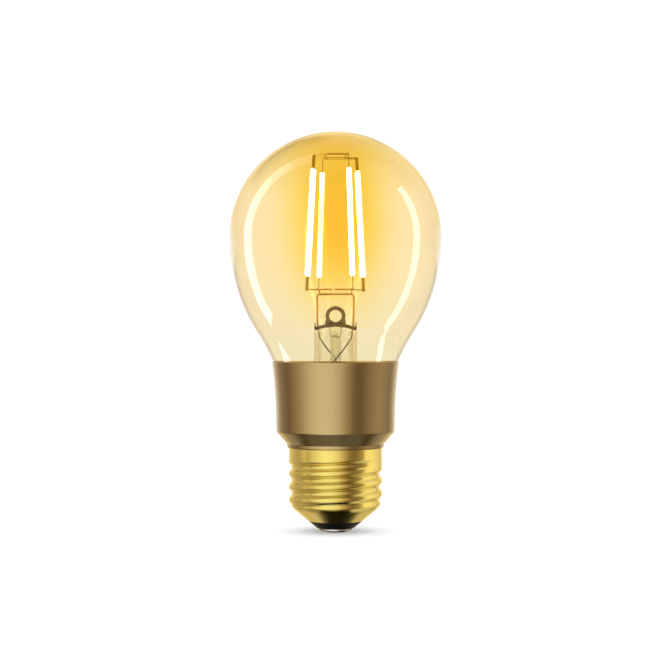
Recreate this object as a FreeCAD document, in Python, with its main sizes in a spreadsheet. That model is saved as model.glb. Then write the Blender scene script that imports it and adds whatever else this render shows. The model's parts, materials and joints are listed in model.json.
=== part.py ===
import FreeCAD, Part
import math
import os
import re
import Sketcher

# Smart LED filament light bulb: A19 envelope on an E26 screw base.
# Millimetres, +Z up, origin on the axis at the flat bottom of the centre contact.

Vector = FreeCAD.Vector
SHEET = "Dims"

# Every driving size of the bulb, grouped by the piece it belongs to: alias, value, meaning.
DIMENSIONS = {
    "Glass envelope": (
        ("crown_radius", 29.7, "radius of the spherical crown"),
        ("crown_height", 82.0, "height of the widest ring above the contact"),
        ("belly_radius", 48.1, "radius of the arc below the widest ring"),
        ("belly_turn", 33.1, "slope from vertical where belly meets neck, degrees"),
        ("shoulder_radius", 53.4, "radius of the hollow arc above the collar"),
        ("rim_turn", 23.3, "slope from vertical where the glass enters the collar, degrees"),
        ("throat_radius", 25.9, "radius of the hidden arc inside the collar"),
        ("glass_end", 33.5, "height of the lower edge of the neck"),
        ("glass_wall", 0.8, "thickness of the envelope"),
    ),
    "Stem": (
        ("stem_radius", 6.0, "outer radius of the stem tube"),
        ("stem_wall", 1.07, "wall of the stem tube"),
        ("stem_top", 56.3, "height of the rim of the stem tube"),
        ("flare_start", 43.0, "height where the stem tube starts to flare"),
        ("flare_radius", 9.6, "radius of the flare arc, outside"),
        ("flare_foot", 34.6, "height of the top of the foot of the flare"),
        ("horn_top", 58.5, "height of the raised ends of the press"),
        ("horn_width", 0.45, "width of the raised ends of the press"),
        ("press_edge", 57.0, "height of the press at the electrodes"),
        ("press_crown_radius", 11.1, "radius of the arched top of the press"),
        ("press_depth", 4.2, "thickness of the press, front to back"),
        ("eye_radius", 2.75, "outer radius of the eye"),
        ("eye_height", 60.25, "height of the middle of the eye"),
        ("eye_foot", 2.95, "half width of the foot of the eye"),
        ("eye_foot_height", 57.9, "height of the foot of the eye"),
        ("eye_hole_radius", 1.75, "radius of the hole of the eye"),
        ("eye_hole_height", 60.35, "height of the middle of the hole"),
        ("eye_depth", 1.7, "thickness of the eye, front to back"),
        ("eye_round", 0.3, "rounding of the edges of the eye"),
    ),
    "Exhaust tube": (
        ("exhaust_radius", 1.45, "outer radius of the exhaust tube"),
        ("exhaust_bore", 0.85, "bore radius of the exhaust tube"),
        ("exhaust_tip", 31.2, "height of the sealed tip"),
        ("boss_radius", 2.0, "radius of the boss under the press"),
        ("boss_bottom", 55.3, "height of the lower edge of the boss"),
        ("bore_top", 55.1, "height of the domed end of the bore"),
    ),
    "Electrodes and lead wires": (
        ("post_spacing", 10.0, "distance between the two electrode posts"),
        ("post_wire_radius", 0.28, "radius of the electrode wire"),
        ("post_foot", 56.6, "height of the lower end of the electrodes, inside the press"),
        ("post_top", 66.3, "height of the horizontal part of the electrodes"),
        ("post_bend", 0.8, "bend radius of the electrodes"),
        ("post_reach", 9.7, "length of the horizontal part of an electrode"),
        ("post_splay", 8.3, "turn of each electrode about its own post, degrees"),
        ("lead_wire_radius", 0.175, "radius of the lead wires in the stem"),
        ("lead_start", 4.72, "distance of the lead wires from the axis at the press"),
        ("lead_splay", 21.9, "turn of each lead wire that carries it past the exhaust tube, degrees"),
        ("lead_bend", 3.0, "bend radius of the lead wires"),
        ("lead_lower_bend", 2.0, "lower bend radius of the lead wires"),
        ("lead_drop", 54.6, "height where the lead wires turn inward"),
        ("lead_reach", 7.6, "sideways travel of a lead wire"),
        ("lead_settle", 44.5, "height where the lead wires turn down again"),
    ),
    "Filament supports": (
        ("bar_height", 67.7, "height of the crossbars"),
        ("bar_radius", 0.25, "radius of the crossbars"),
        ("bar_outer_end", 5.25, "distance from the axis to the outer end of a crossbar"),
        ("left_bar_inner_end", -0.9, "inner end of the left crossbar"),
        ("right_bar_inner_end", -0.3, "inner end of the right crossbar"),
        ("riser_radius", 0.18, "radius of the short post between electrode and crossbar"),
        ("riser_position", 4.5, "distance from the axis to the short post"),
        ("arm_radius", 0.17, "radius of the arms that carry the filaments"),
        ("bridge_height", 104.9, "height of the wire loop that joins the filament tops"),
        ("bridge_radius", 0.22, "radius of the wire of the loop"),
        ("bridge_half_depth", 5.6, "distance from the axis to the front and back of the loop"),
        ("bridge_half_width", 2.0, "half width of the front and back of the loop"),
        ("bridge_side", 2.5, "half width of the loop across its side corners"),
        ("bridge_bend", 0.5, "bend radius of the loop"),
    ),
    "LED filaments": (
        ("filament_turn", 31.0, "turn of the square of four filaments, degrees"),
        ("filament_foot_distance", 9.3, "distance of a filament from the axis, bottom"),
        ("filament_head_distance", 6.95, "distance of a filament from the axis, top"),
        ("tab_bottom", 67.2, "height of the lower end of a filament"),
        ("tab_top", 105.0, "height of the upper end of a filament"),
        ("tab_width", 0.85, "width of the metal end tabs"),
        ("tab_thickness", 0.2, "thickness of the metal end tabs"),
        ("tab_overlap", 0.6, "length of tab held in the end of the lit part"),
        ("lit_start", 4.1, "distance from the lower end of the tab to the lit part"),
        ("lit_length", 29.8, "length of the lit part"),
        ("lit_width", 1.5, "width of the phosphor body"),
        ("lit_depth", 1.35, "thickness of the phosphor body"),
        ("lit_round", 0.6, "corner radius of the phosphor body"),
        ("strip_width", 0.85, "width of the ceramic strip"),
        ("strip_thickness", 0.35, "thickness of the ceramic strip"),
        ("chip_width", 0.34, "width of an LED chip"),
        ("chip_length", 0.7, "length of an LED chip"),
        ("chip_thickness", 0.15, "thickness of an LED chip"),
        ("chip_pitch", 1.04, "spacing of the LED chips"),
        ("bond_thickness", 0.05, "thickness of the bonding layer under the chips"),
    ),
    "Collar housing": (
        ("lip_radius", 13.6, "radius of the lower lip"),
        ("collar_bottom", 23.5, "height of the lower lip"),
        ("lip_height", 1.0, "height of the lower lip's straight side"),
        ("chamfer_radius", 16.55, "radius at the top of the chamfer"),
        ("chamfer_top", 27.9, "height of the top of the chamfer"),
        ("waist_top", 30.0, "height where the flare starts"),
        ("waist_radius", 16.62, "radius where the flare starts"),
        ("flare_arc", 146.0, "radius of the long hollow flare of the collar"),
        ("collar_rim_radius", 17.72, "radius just under the rim"),
        ("collar_rim", 47.2, "height just under the rim"),
        ("rim_round", 0.2, "rounding of the rim"),
        ("collar_bore", 16.0, "bore of the collar"),
        ("collar_bore_top", 41.5, "height where the bore opens towards the rim"),
        ("ledge_height", 28.6, "height of the ledge the board rests on"),
        ("ledge_bore", 12.4, "bore below the ledge"),
        ("ledge_bottom", 25.4, "height of the floor below the ledge"),
        ("sleeve_radius", 11.9, "outer radius of the sleeve inside the screw shell"),
        ("sleeve_bore", 10.5, "bore of the sleeve"),
        ("sleeve_bottom", 12.0, "height of the lower end of the sleeve"),
    ),
    "Screw shell": (
        ("thread_radius", 13.2, "crest radius of the E26 thread"),
        ("thread_pitch", 3.63, "pitch of the E26 thread"),
        ("thread_round", 1.19, "radius of crest and root"),
        ("thread_depth", 0.84, "depth of the thread"),
        ("thread_start", 5.24, "height of the root at +X where the thread begins"),
        ("thread_run", 14.07, "height the thread climbs, right-handed"),
        ("crest_land", 0.06, "half width of the land left on the crest"),
        ("shell_top", 23.5, "height of the upper edge of the shell"),
        ("shell_bore", 12.06, "inner radius of the shell"),
        ("shoulder_arc", 5.0, "radius of the rounded shoulder"),
        ("shoulder_top", 9.84, "height of the top of the shoulder"),
        ("cone_top_radius", 11.4, "radius at the top of the cone"),
        ("cone_radius", 7.8, "radius at the bottom of the cone"),
        ("cone_bottom", 3.0, "height of the bottom of the cone"),
        ("cone_angle", 50.2, "half angle of the cone, degrees"),
        ("shell_wall", 0.4, "sheet thickness of the cone"),
        ("shell_bore_start", 7.6, "height where the straight bore starts"),
    ),
    "Base insulator and contact": (
        ("insulator_bottom", 0.9, "height of the lower face of the insulator"),
        ("insulator_radius", 5.12, "radius of the lower face of the insulator"),
        ("insulator_neck", 9.6, "radius of the plug inside the shell"),
        ("insulator_top", 6.2, "height of the top of the plug"),
        ("contact_radius", 4.9, "radius of the centre contact"),
        ("contact_round", 0.5, "rounding of the lower edge of the contact"),
        ("rivet_radius", 1.1, "radius of the rivet shank"),
        ("rivet_head", 1.9, "radius of the upset head inside the base"),
        ("rivet_head_height", 0.6, "height of the upset head"),
    ),
    "Driver board": (
        ("board_radius", 15.4, "radius of the driver board"),
        ("board_thickness", 1.0, "thickness of the driver board"),
        ("pin_radius", 0.3, "radius of the component pins"),
        ("pin_stand", 0.7, "height of the pins above the board"),
        ("hole_clearance", 0.05, "gap around pins and wires in the board"),
        ("can_x", -5.1, "position of the bulk capacitor"),
        ("can_radius", 4.0, "radius of the bulk capacitor"),
        ("can_length", 12.5, "length of the bulk capacitor"),
        ("can_round", 0.5, "rounding of the capacitor can"),
        ("can_groove", 0.35, "depth of the crimp groove of the capacitor"),
        ("can_pin_gap", 3.5, "distance between the capacitor pins"),
        ("coil_x", 5.1, "position of the inductor"),
        ("coil_radius", 4.0, "flange radius of the inductor core"),
        ("coil_core", 2.0, "core radius of the inductor"),
        ("coil_length", 9.0, "length of the inductor"),
        ("coil_flange", 1.0, "flange thickness of the inductor"),
        ("coil_winding", 3.6, "outer radius of the winding"),
        ("coil_pin_gap", 5.0, "distance between the inductor pins"),
        ("film_y", 7.0, "position of the film capacitor"),
        ("film_width", 6.0, "width of the film capacitor"),
        ("film_depth", 2.8, "thickness of the film capacitor"),
        ("film_height", 6.5, "height of the film capacitor"),
        ("film_pin_gap", 4.0, "distance between the film capacitor pins"),
        ("fuse_y", -6.8, "position of the fusible resistor"),
        ("fuse_radius", 1.5, "end radius of the fusible resistor"),
        ("fuse_waist", 1.25, "waist radius of the fusible resistor"),
        ("fuse_length", 7.0, "length of the fusible resistor"),
        ("fuse_gap", 1.5, "gap between the fusible resistor and the board"),
        ("rectifier_x", 8.4, "position of the bridge rectifier"),
        ("rectifier_y", -5.6, "position of the bridge rectifier"),
        ("rectifier_width", 4.7, "width of the bridge rectifier"),
        ("rectifier_depth", 3.9, "depth of the bridge rectifier"),
        ("rectifier_height", 1.6, "height of the bridge rectifier"),
        ("ic_x", -8.4, "position of the driver chip"),
        ("ic_y", -5.6, "position of the driver chip"),
        ("ic_width", 4.9, "length of the driver chip"),
        ("ic_depth", 3.9, "width of the driver chip"),
        ("ic_height", 1.4, "height of the driver chip"),
        ("gull_pitch", 1.27, "spacing of the chip legs"),
        ("gull_width", 0.42, "width of a chip leg"),
        ("gull_reach", 1.05, "length of a chip leg"),
        ("gull_thickness", 0.25, "thickness of a chip leg"),
    ),
    "Radio module": (
        ("module_y", 8.2, "position of the radio module"),
        ("module_width", 14.0, "width of the radio module"),
        ("module_depth", 10.0, "depth of the radio module"),
        ("module_thickness", 0.8, "thickness of the radio module"),
        ("shield_width", 8.0, "width of the shield can"),
        ("shield_depth", 7.0, "depth of the shield can"),
        ("shield_height", 1.7, "height of the shield can"),
        ("shield_wall", 0.2, "sheet thickness of the shield can"),
        ("shield_x", 2.3, "position of the shield can across the module"),
        ("antenna_trace", 0.45, "width of the antenna trace"),
        ("antenna_gap", 0.9, "spacing of the antenna meanders"),
        ("antenna_length", 3.4, "length of a meander"),
        ("antenna_thickness", 0.1, "thickness of the antenna trace"),
    ),
    "Supply wires": (
        ("supply_radius", 0.55, "radius of the supply wires"),
        ("supply_x", 2.6, "where the live wire meets the board"),
        ("supply_y", 3.6, "where the live wire meets the board"),
        ("live_bend", 1.6, "bend radius of the live wire"),
        ("live_turn_height", 12.0, "height where the live wire turns to the rivet"),
        ("neutral_y", -9.75, "where the neutral wire runs along the sleeve"),
        ("neutral_turn_height", 10.0, "height where the neutral wire turns to the shell"),
        ("neutral_bend", 0.8, "bend radius of the neutral wire"),
    ),
}

doc = FreeCAD.newDocument("SmartLightBulb")
sheet = doc.addObject("Spreadsheet::Sheet", SHEET)
aliases = set()
nodes = []


def fill_sheet():
    """Write every size into the sheet, one row each, under the name of its piece."""
    row = 1
    for group, entries in DIMENSIONS.items():
        sheet.set(f"A{row}", group)
        row += 1
        for alias, number, meaning in entries:
            sheet.set(f"A{row}", meaning)
            sheet.set(f"B{row}", str(number))
            sheet.setAlias(f"B{row}", alias)
            aliases.add(alias)
            row += 1
    doc.recompute()


def bound(expression):
    """Expression with the sheet's name put before every alias in it."""
    return re.sub(
        r"[A-Za-z_]\w*",
        lambda word: f"{SHEET}.{word.group()}" if word.group() in aliases else word.group(),
        expression,
    )


def number(expression):
    """Value an expression has now."""
    result = sheet.evalExpression(bound(expression))
    return float(getattr(result, "Value", result))


def node(thing, name):
    """Name a finished sub-part and list it for export."""
    thing.Label = name
    nodes.append(thing)
    return thing


def new_body(name):
    return node(doc.addObject("PartDesign::Body", name), name)


def new_sketch(body, role, lift=None):
    """Empty sketch on one of the body's own origin planes, lifted along its normal."""
    plane = next(item for item in body.Origin.OriginFeatures if item.Role == role)
    sketch = body.newObject("Sketcher::SketchObject", "Sketch")
    sketch.AttachmentSupport = [(plane, "")]
    sketch.MapMode = "FlatFace"
    if lift:
        sketch.setExpression(".AttachmentOffset.Base.z", bound(lift))
    return sketch


def bind_constraint(sketch, constraint, expression):
    index = sketch.addConstraint(constraint)
    sketch.setExpression(f"Constraints[{index}]", bound(expression))


def pin_point(sketch, geometry, end, x, y):
    """Tie a point of the sketch to two expressions, or to an axis where one is zero."""
    for kind, axis, expression in (("DistanceX", -2, x), ("DistanceY", -1, y)):
        if expression == "0":
            sketch.addConstraint(Sketcher.Constraint("PointOnObject", geometry, end, axis))
        else:
            rule = Sketcher.Constraint(kind, -1, 1, geometry, end, number(expression))
            bind_constraint(sketch, rule, expression)


def arc_between(start, finish, radius, side):
    """Counter-clockwise arc through two points, its centre left (+1) or right (-1) of the way."""
    chord = finish - start
    middle = (start + finish) * 0.5
    left = Vector(-chord.y, chord.x, 0).normalize()
    centre = middle + left * (side * math.sqrt(max(radius**2 - chord.Length**2 / 4, 0)))
    first, last = (start, finish) if side > 0 else (finish, start)
    begin = math.atan2(first.y - centre.y, first.x - centre.x)
    stop = math.atan2(last.y - centre.y, last.x - centre.x)
    if stop < begin:
        stop += 2 * math.pi
    return Part.ArcOfCircle(Part.Circle(centre, Vector(0, 0, 1), radius), begin, stop)


def outline(sketch, corners):
    """Closed outline. A corner is (x, y), or (x, y, radius, side) when an arc leaves it."""
    points = [Vector(number(corner[0]), number(corner[1]), 0) for corner in corners]
    count = len(corners)
    ends = []
    for i, corner in enumerate(corners):
        start, finish = points[i], points[(i + 1) % count]
        if len(corner) == 2:
            edge = sketch.addGeometry(Part.LineSegment(start, finish), False)
            ends.append((edge, 1, 2))
            continue
        radius, side = corner[2], corner[3]
        edge = sketch.addGeometry(arc_between(start, finish, number(radius), side), False)
        ends.append((edge, 1, 2) if side > 0 else (edge, 2, 1))
    for i, corner in enumerate(corners):
        edge, first, last = ends[i]
        following, following_first, _ = ends[(i + 1) % count]
        sketch.addConstraint(Sketcher.Constraint("Coincident", edge, last, following, following_first))
        pin_point(sketch, edge, first, corner[0], corner[1])
        if len(corner) == 4:
            rule = Sketcher.Constraint("Radius", edge, number(corner[2]))
            bind_constraint(sketch, rule, corner[2])
    return sketch


def box_outline(sketch, x, y, width, depth):
    """Rectangle centred on x, y."""
    left, right = f"{x} - ({width}) / 2", f"{x} + ({width}) / 2"
    low, high = f"{y} - ({depth}) / 2", f"{y} + ({depth}) / 2"
    return outline(sketch, [(left, low), (right, low), (right, high), (left, high)])


def circle(sketch, x, y, radius):
    centre = Vector(number(x), number(y), 0)
    ring = sketch.addGeometry(Part.Circle(centre, Vector(0, 0, 1), number(radius)), False)
    pin_point(sketch, ring, 3, x, y)
    bind_constraint(sketch, Sketcher.Constraint("Radius", ring, number(radius)), radius)
    return sketch


def bent_path(sketch, corners, bends, closed=False):
    """Wire path through the corners, each inner corner rounded with a tangent arc."""
    points = [Vector(number(x), number(y), 0) for x, y in corners]
    count = len(points)
    legs = count if closed else count - 1
    radii = {i: bends[i % len(bends)] for i in range(count) if closed or 0 < i < count - 1}
    cut = {}
    for i, radius in radii.items():
        back = (points[i - 1] - points[i]).normalize()
        onward = (points[(i + 1) % count] - points[i]).normalize()
        cut[i] = number(radius) / math.tan(back.getAngle(onward) / 2)
    lines = []
    for i in range(legs):
        start, finish = points[i], points[(i + 1) % count]
        way = (finish - start).normalize()
        begin = start + way * cut.get(i, 0)
        stop = finish - way * cut.get((i + 1) % count, 0)
        lines.append(sketch.addGeometry(Part.LineSegment(begin, stop), False))
    for i, radius in radii.items():
        before, after = lines[i - 1], lines[i % legs]
        start, finish = sketch.Geometry[before].EndPoint, sketch.Geometry[after].StartPoint
        turn = (points[i] - points[i - 1]).cross(points[(i + 1) % count] - points[i]).z
        side = 1 if turn > 0 else -1
        arc = sketch.addGeometry(arc_between(start, finish, number(radius), side), False)
        first, last = (1, 2) if side > 0 else (2, 1)
        sketch.addConstraint(Sketcher.Constraint("Tangent", before, 2, arc, first))
        sketch.addConstraint(Sketcher.Constraint("Tangent", arc, last, after, 1))
        bind_constraint(sketch, Sketcher.Constraint("Radius", arc, number(radius)), radius)
        corner = sketch.addGeometry(Part.Point(points[i]), True)
        pin_point(sketch, corner, 1, *corners[i])
        sketch.addConstraint(Sketcher.Constraint("PointOnObject", corner, 1, before))
        sketch.addConstraint(Sketcher.Constraint("PointOnObject", corner, 1, after))
    if not closed:
        pin_point(sketch, lines[0], 1, *corners[0])
        pin_point(sketch, lines[-1], 2, *corners[-1])
    return sketch


def revolve(body, corners):
    """Turn an outline drawn in radius and height about the vertical axis."""
    feature = body.newObject("PartDesign::Revolution", "Revolution")
    sketch = outline(new_sketch(body, "XZ_Plane"), corners)
    feature.Profile = sketch
    feature.ReferenceAxis = (sketch, ["V_Axis"])
    feature.Angle = 360
    doc.recompute()
    return feature


def pad(body, sketch, length, midplane=False, downward=False):
    feature = body.newObject("PartDesign::Pad", "Pad")
    feature.Profile = sketch
    feature.setExpression("Length", bound(length))
    feature.Midplane = midplane
    feature.Reversed = downward
    doc.recompute()
    return feature


def pocket(body, sketch, length, upward=False, midplane=False):
    """Cut the sketch out of the body; stops the build when it removes nothing."""
    before = body.Shape.Volume
    feature = body.newObject("PartDesign::Pocket", "Pocket")
    feature.Profile = sketch
    feature.setExpression("Length", bound(length))
    feature.Reversed = upward
    feature.Midplane = midplane
    doc.recompute()
    if body.Shape.Volume >= before - 1e-6:
        raise RuntimeError(f"{body.Label}: a pocket removed nothing")
    return feature


def pattern(body, feature, axis, spacing, count):
    """Repeat a feature along an axis of its own sketch."""
    doc.recompute()
    body.Tip = feature
    row = body.newObject("PartDesign::LinearPattern", "Row")
    row.Originals = [feature]
    row.Direction = (feature.Profile[0], [axis])
    row.setExpression("Length", bound(f"({spacing}) * {count - 1}"))
    row.Occurrences = count
    body.Tip = row
    doc.recompute()
    return row


def pipe(body, path, profile):
    feature = body.newObject("PartDesign::AdditivePipe", "Wire")
    feature.Profile = profile
    feature.Spine = path
    doc.recompute()
    return feature


def place(thing, x="0", y="0", z="0", turn="0"):
    """Put a sub-part in the bulb, turned about the vertical."""
    thing.setExpression(".Placement.Base.x", bound(x))
    thing.setExpression(".Placement.Base.y", bound(y))
    thing.setExpression(".Placement.Base.z", bound(z))
    thing.Placement.Rotation = FreeCAD.Rotation(Vector(0, 0, 1), number(turn))
    thing.setExpression(".Placement.Rotation.Angle", bound(turn))


def edges_of(feature, wanted):
    """Names of the edges of a feature that pass a test."""
    return [f"Edge{i}" for i, edge in enumerate(feature.Shape.Edges, 1) if wanted(edge)]


def fillet(body, feature, radius, wanted):
    rounding = body.newObject("PartDesign::Fillet", "Fillet")
    rounding.Base = (feature, edges_of(feature, wanted))
    rounding.setExpression("Radius", bound(radius))
    doc.recompute()
    return rounding


# ---- glass -----------------------------------------------------------------------------------

def glass_profile(offset):
    """Corners of the envelope's skin from the top down, moved inward by an offset."""
    neck_r = "(crown_radius - belly_radius * (1 - cos(belly_turn * 1deg))"
    neck_z = "(crown_height - belly_radius * sin(belly_turn * 1deg)"
    rim_r = f"{neck_r} - shoulder_radius * (cos(rim_turn * 1deg) - cos(belly_turn * 1deg))"
    rim_z = f"{neck_z} - shoulder_radius * (sin(belly_turn * 1deg) - sin(rim_turn * 1deg))"
    end_r = f"{rim_r} - throat_radius * (1 - cos(rim_turn * 1deg)) - {offset})"
    end_z = f"{rim_z} - throat_radius * sin(rim_turn * 1deg))"
    return [
        ("0", f"crown_height + crown_radius - {offset}", f"crown_radius - {offset}", -1),
        (f"crown_radius - {offset}", "crown_height", f"belly_radius - {offset}", -1),
        (
            f"{neck_r} - {offset} * cos(belly_turn * 1deg))",
            f"{neck_z} + {offset} * sin(belly_turn * 1deg))",
            f"shoulder_radius + {offset}",
            1,
        ),
        (
            f"{rim_r} - {offset} * cos(rim_turn * 1deg))",
            f"{rim_z} + {offset} * sin(rim_turn * 1deg))",
            f"throat_radius + {offset}",
            1,
        ),
        (end_r, end_z),
        (end_r, "glass_end"),
    ]


def glass_envelope():
    """Blown glass: sphere, belly and hollow neck, one wall thickness throughout."""
    outer = glass_profile("0")
    inner = glass_profile("glass_wall")
    back = []
    for i in range(len(inner) - 1, -1, -1):
        leaving = inner[i - 1][2:] if i else ()
        corner = inner[i][:2]
        back.append(corner + ((leaving[0], -leaving[1]) if leaving else ()))
    revolve(new_body("glass_envelope"), outer + back)


def stem_tube():
    """Clear tube with a flared foot fused into the lower end of the neck."""
    inside = "stem_radius - stem_wall"
    foot = glass_profile("glass_wall")[-1][0]
    revolve(new_body("stem_tube"), [
        (inside, "stem_top"),
        (inside, "flare_start - 0.4", "flare_radius + stem_wall", 1),
        (f"{foot} - 1.3", "glass_end"),
        (foot, "glass_end"),
        (foot, "flare_foot - 0.3"),
        (f"{foot} - 0.8", "flare_foot", "flare_radius", -1),
        ("stem_radius", "flare_start"),
        ("stem_radius", "stem_top"),
    ])


def stem_press():
    """Solid glass bridge on the stem tube that seals the electrodes, with a support eye."""
    body = new_body("stem_press")
    slot = "stem_radius - horn_width"
    arch = outline(new_sketch(body, "XZ_Plane"), [
        ("-stem_radius", "stem_top"),
        ("stem_radius", "stem_top"),
        ("stem_radius", "horn_top"),
        (slot, "horn_top"),
        (f"{slot} - 0.25", "press_edge", "press_crown_radius", 1),
        (f"-({slot} - 0.25)", "press_edge"),
        (f"-({slot})", "horn_top"),
        ("-stem_radius", "horn_top"),
    ])
    bridge = pad(body, arch, "press_depth", midplane=True)
    reach = number("stem_radius") - 0.01
    fillet(body, bridge, "press_depth * 0.35", lambda edge: (
        abs(edge.BoundBox.XLength) < 0.01
        and abs(edge.BoundBox.YLength) < 0.01
        and abs(edge.BoundBox.XMin) > reach
    ))
    eye = outline(new_sketch(body, "XZ_Plane"), [
        ("-eye_foot", "eye_foot_height"),
        ("eye_foot", "eye_foot_height"),
        ("eye_radius * 0.985", "eye_height - eye_radius * 0.17", "eye_radius", 1),
        ("0", "eye_height + eye_radius", "eye_radius", 1),
        ("-eye_radius * 0.985", "eye_height - eye_radius * 0.17"),
    ])
    ring = pad(body, eye, "eye_depth", midplane=True)
    hole = circle(new_sketch(body, "XZ_Plane"), "0", "eye_hole_height", "eye_hole_radius")
    opening = pocket(body, hole, "eye_depth * 2", midplane=True)
    low = number("eye_height - 1")
    fillet(body, opening, "eye_round", lambda edge: (
        edge.BoundBox.YLength < 0.01 and edge.BoundBox.ZMax > low
    ))
    seal = new_sketch(body, "XY_Plane", lift="post_foot")
    for side in ("-", ""):
        circle(seal, f"{side}post_spacing / 2", "0", "post_wire_radius")
    pocket(body, seal, "horn_top - post_foot", upward=True)
    lead = new_sketch(body, "XY_Plane", lift="stem_top")
    for side in ("-", ""):
        circle(lead, f"{side}lead_start", "0", "lead_wire_radius")
    pocket(body, lead, "post_foot - stem_top", upward=True)


def exhaust_tube():
    """Thin tube the bulb was pumped through: boss under the press, sealed tip below."""
    revolve(new_body("exhaust_tube"), [
        ("0", "exhaust_tip", "exhaust_radius", 1),
        ("exhaust_radius", "exhaust_tip + exhaust_radius"),
        ("exhaust_radius", "boss_bottom - 0.7"),
        ("boss_radius", "boss_bottom"),
        ("boss_radius", "stem_top"),
        ("0", "stem_top"),
        ("0", "bore_top", "exhaust_bore", -1),
        ("exhaust_bore", "bore_top - exhaust_bore"),
        ("exhaust_bore", "exhaust_tip + 2 * exhaust_radius", "exhaust_bore", -1),
        ("0", "exhaust_tip + 2 * exhaust_radius - exhaust_bore"),
    ])


# ---- wires inside the glass ------------------------------------------------------------------

def bent_wire(name, corners, bends, radius):
    """Round wire that starts upright and bends in one upright plane."""
    body = new_body(name)
    path = bent_path(new_sketch(body, "XZ_Plane"), corners, bends)
    profile = circle(new_sketch(body, "XY_Plane", lift=corners[0][1]), corners[0][0], "0", radius)
    pipe(body, path, profile)
    return body


def electrodes():
    """Two L-shaped wires; the flat parts pass each other, one in front and one behind."""
    corners = [("0", "post_foot"), ("0", "post_top"), ("post_reach", "post_top")]
    left = bent_wire("electrode_left", corners, [None, "post_bend"], "post_wire_radius")
    place(left, x="-post_spacing / 2", turn="-post_splay")
    right = bent_wire("electrode_right", corners, [None, "post_bend"], "post_wire_radius")
    place(right, x="post_spacing / 2", turn="180 - post_splay")


def lead_wires():
    """Wires from the press to the driver board, passing either side of the exhaust tube."""
    board_top = "ledge_height"
    corners = [
        ("0", "post_foot"),
        ("0", "lead_drop"),
        ("lead_reach", "lead_settle"),
        ("lead_reach", board_top),
    ]
    bends = [None, "lead_bend", "lead_lower_bend"]
    left = bent_wire("lead_wire_left", corners, bends, "lead_wire_radius")
    place(left, x="-lead_start", turn="lead_splay")
    right = bent_wire("lead_wire_right", corners, bends, "lead_wire_radius")
    place(right, x="lead_start", turn="180 + lead_splay")


def crossbar(name, outer, inner, riser):
    """Thick horizontal wire welded on a short riser that stands on an electrode."""
    body = new_body(name)
    start, stop = (outer, inner) if number(outer) < number(inner) else (inner, outer)
    end = circle(new_sketch(body, "YZ_Plane", lift=start), "0", "bar_height", "bar_radius")
    pad(body, end, f"({stop}) - ({start})")
    foot = "post_top + post_wire_radius"
    post = circle(new_sketch(body, "XY_Plane", lift=foot), riser, "0", "riser_radius")
    pad(body, post, f"bar_height - ({foot})")
    return body


def straight_wire(name, start, finish, radius, welded_to):
    """Round wire between two points, its ends shaped to the pieces it is welded to."""
    rod = doc.addObject("Part::Cylinder", f"{name}_rod")
    first = Vector(*[number(part) for part in start])
    last = Vector(*[number(part) for part in finish])
    rod.Placement = FreeCAD.Placement(first, FreeCAD.Rotation(Vector(0, 0, 1), last - first))
    for axis, part in zip("xyz", start):
        rod.setExpression(f".Placement.Base.{axis}", bound(part))
    spans = [f"pow(({b}) - ({a}); 2)" for a, b in zip(start, finish)]
    rod.setExpression("Height", bound(f"sqrt({' + '.join(spans)}) * 1mm"))
    rod.setExpression("Radius", bound(radius))
    wire = rod
    for neighbour in welded_to:
        cut = doc.addObject("Part::Cut", f"{name}_trim")
        cut.Base = wire
        cut.Tool = neighbour
        wire = cut
    doc.recompute()
    return node(wire, name)


def filament_point(index, distance):
    """Expressions for where filament 0 to 3 stands at a given distance from the axis."""
    angle = f"((180 + filament_turn + {90 * index}) * 1deg)"
    return f"({distance}) * cos{angle}", f"({distance}) * sin{angle}"


def filament_arms(bars, bridge, lower_tabs, upper_tabs):
    """Thin wires from the crossbars and from the top loop to the ends of the filaments."""
    edge = "(tab_thickness / 2 + arm_radius)"
    first_arms = {}
    for index in range(4):
        side = "-" if index in (0, 3) else ""
        x, y = filament_point(index, f"filament_foot_distance - {edge}")
        root = (f"{side}(bar_outer_end - bar_radius)", "0", "bar_height")
        neighbours = [bars[side], lower_tabs[index]]
        if side in first_arms:
            neighbours.append(first_arms[side])
        arm = straight_wire(
            f"lower_arm_{index + 1}", root, (x, y, "bar_height"), "arm_radius", neighbours
        )
        first_arms.setdefault(side, arm)
        x, y = filament_point(index, f"filament_head_distance - {edge}")
        front = "-" if index in (0, 1) else ""
        corner = (f"{side}(bridge_half_width - 0.4)", f"{front}bridge_half_depth", "bridge_height")
        straight_wire(
            f"upper_arm_{index + 1}", corner, (x, y, "bridge_height"), "arm_radius",
            [bridge, upper_tabs[index]],
        )


def top_bridge():
    """Closed six-sided wire loop above the filaments that joins their upper ends."""
    body = new_body("top_bridge")
    path = new_sketch(body, "XY_Plane", lift="bridge_height")
    deep, wide = "bridge_half_depth", "bridge_half_width"
    bent_path(path, [
        ("0", f"-{deep}"),
        (wide, f"-{deep}"),
        ("bridge_side", "0"),
        (wide, deep),
        (f"-{wide}", deep),
        ("-bridge_side", "0"),
        (f"-{wide}", f"-{deep}"),
        ("0", f"-{deep}"),
    ], ["bridge_bend"])
    end = circle(new_sketch(body, "YZ_Plane"), f"-{deep}", "bridge_height", "bridge_radius")
    pipe(body, path, end)
    return body


# ---- LED filaments ---------------------------------------------------------------------------

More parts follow.
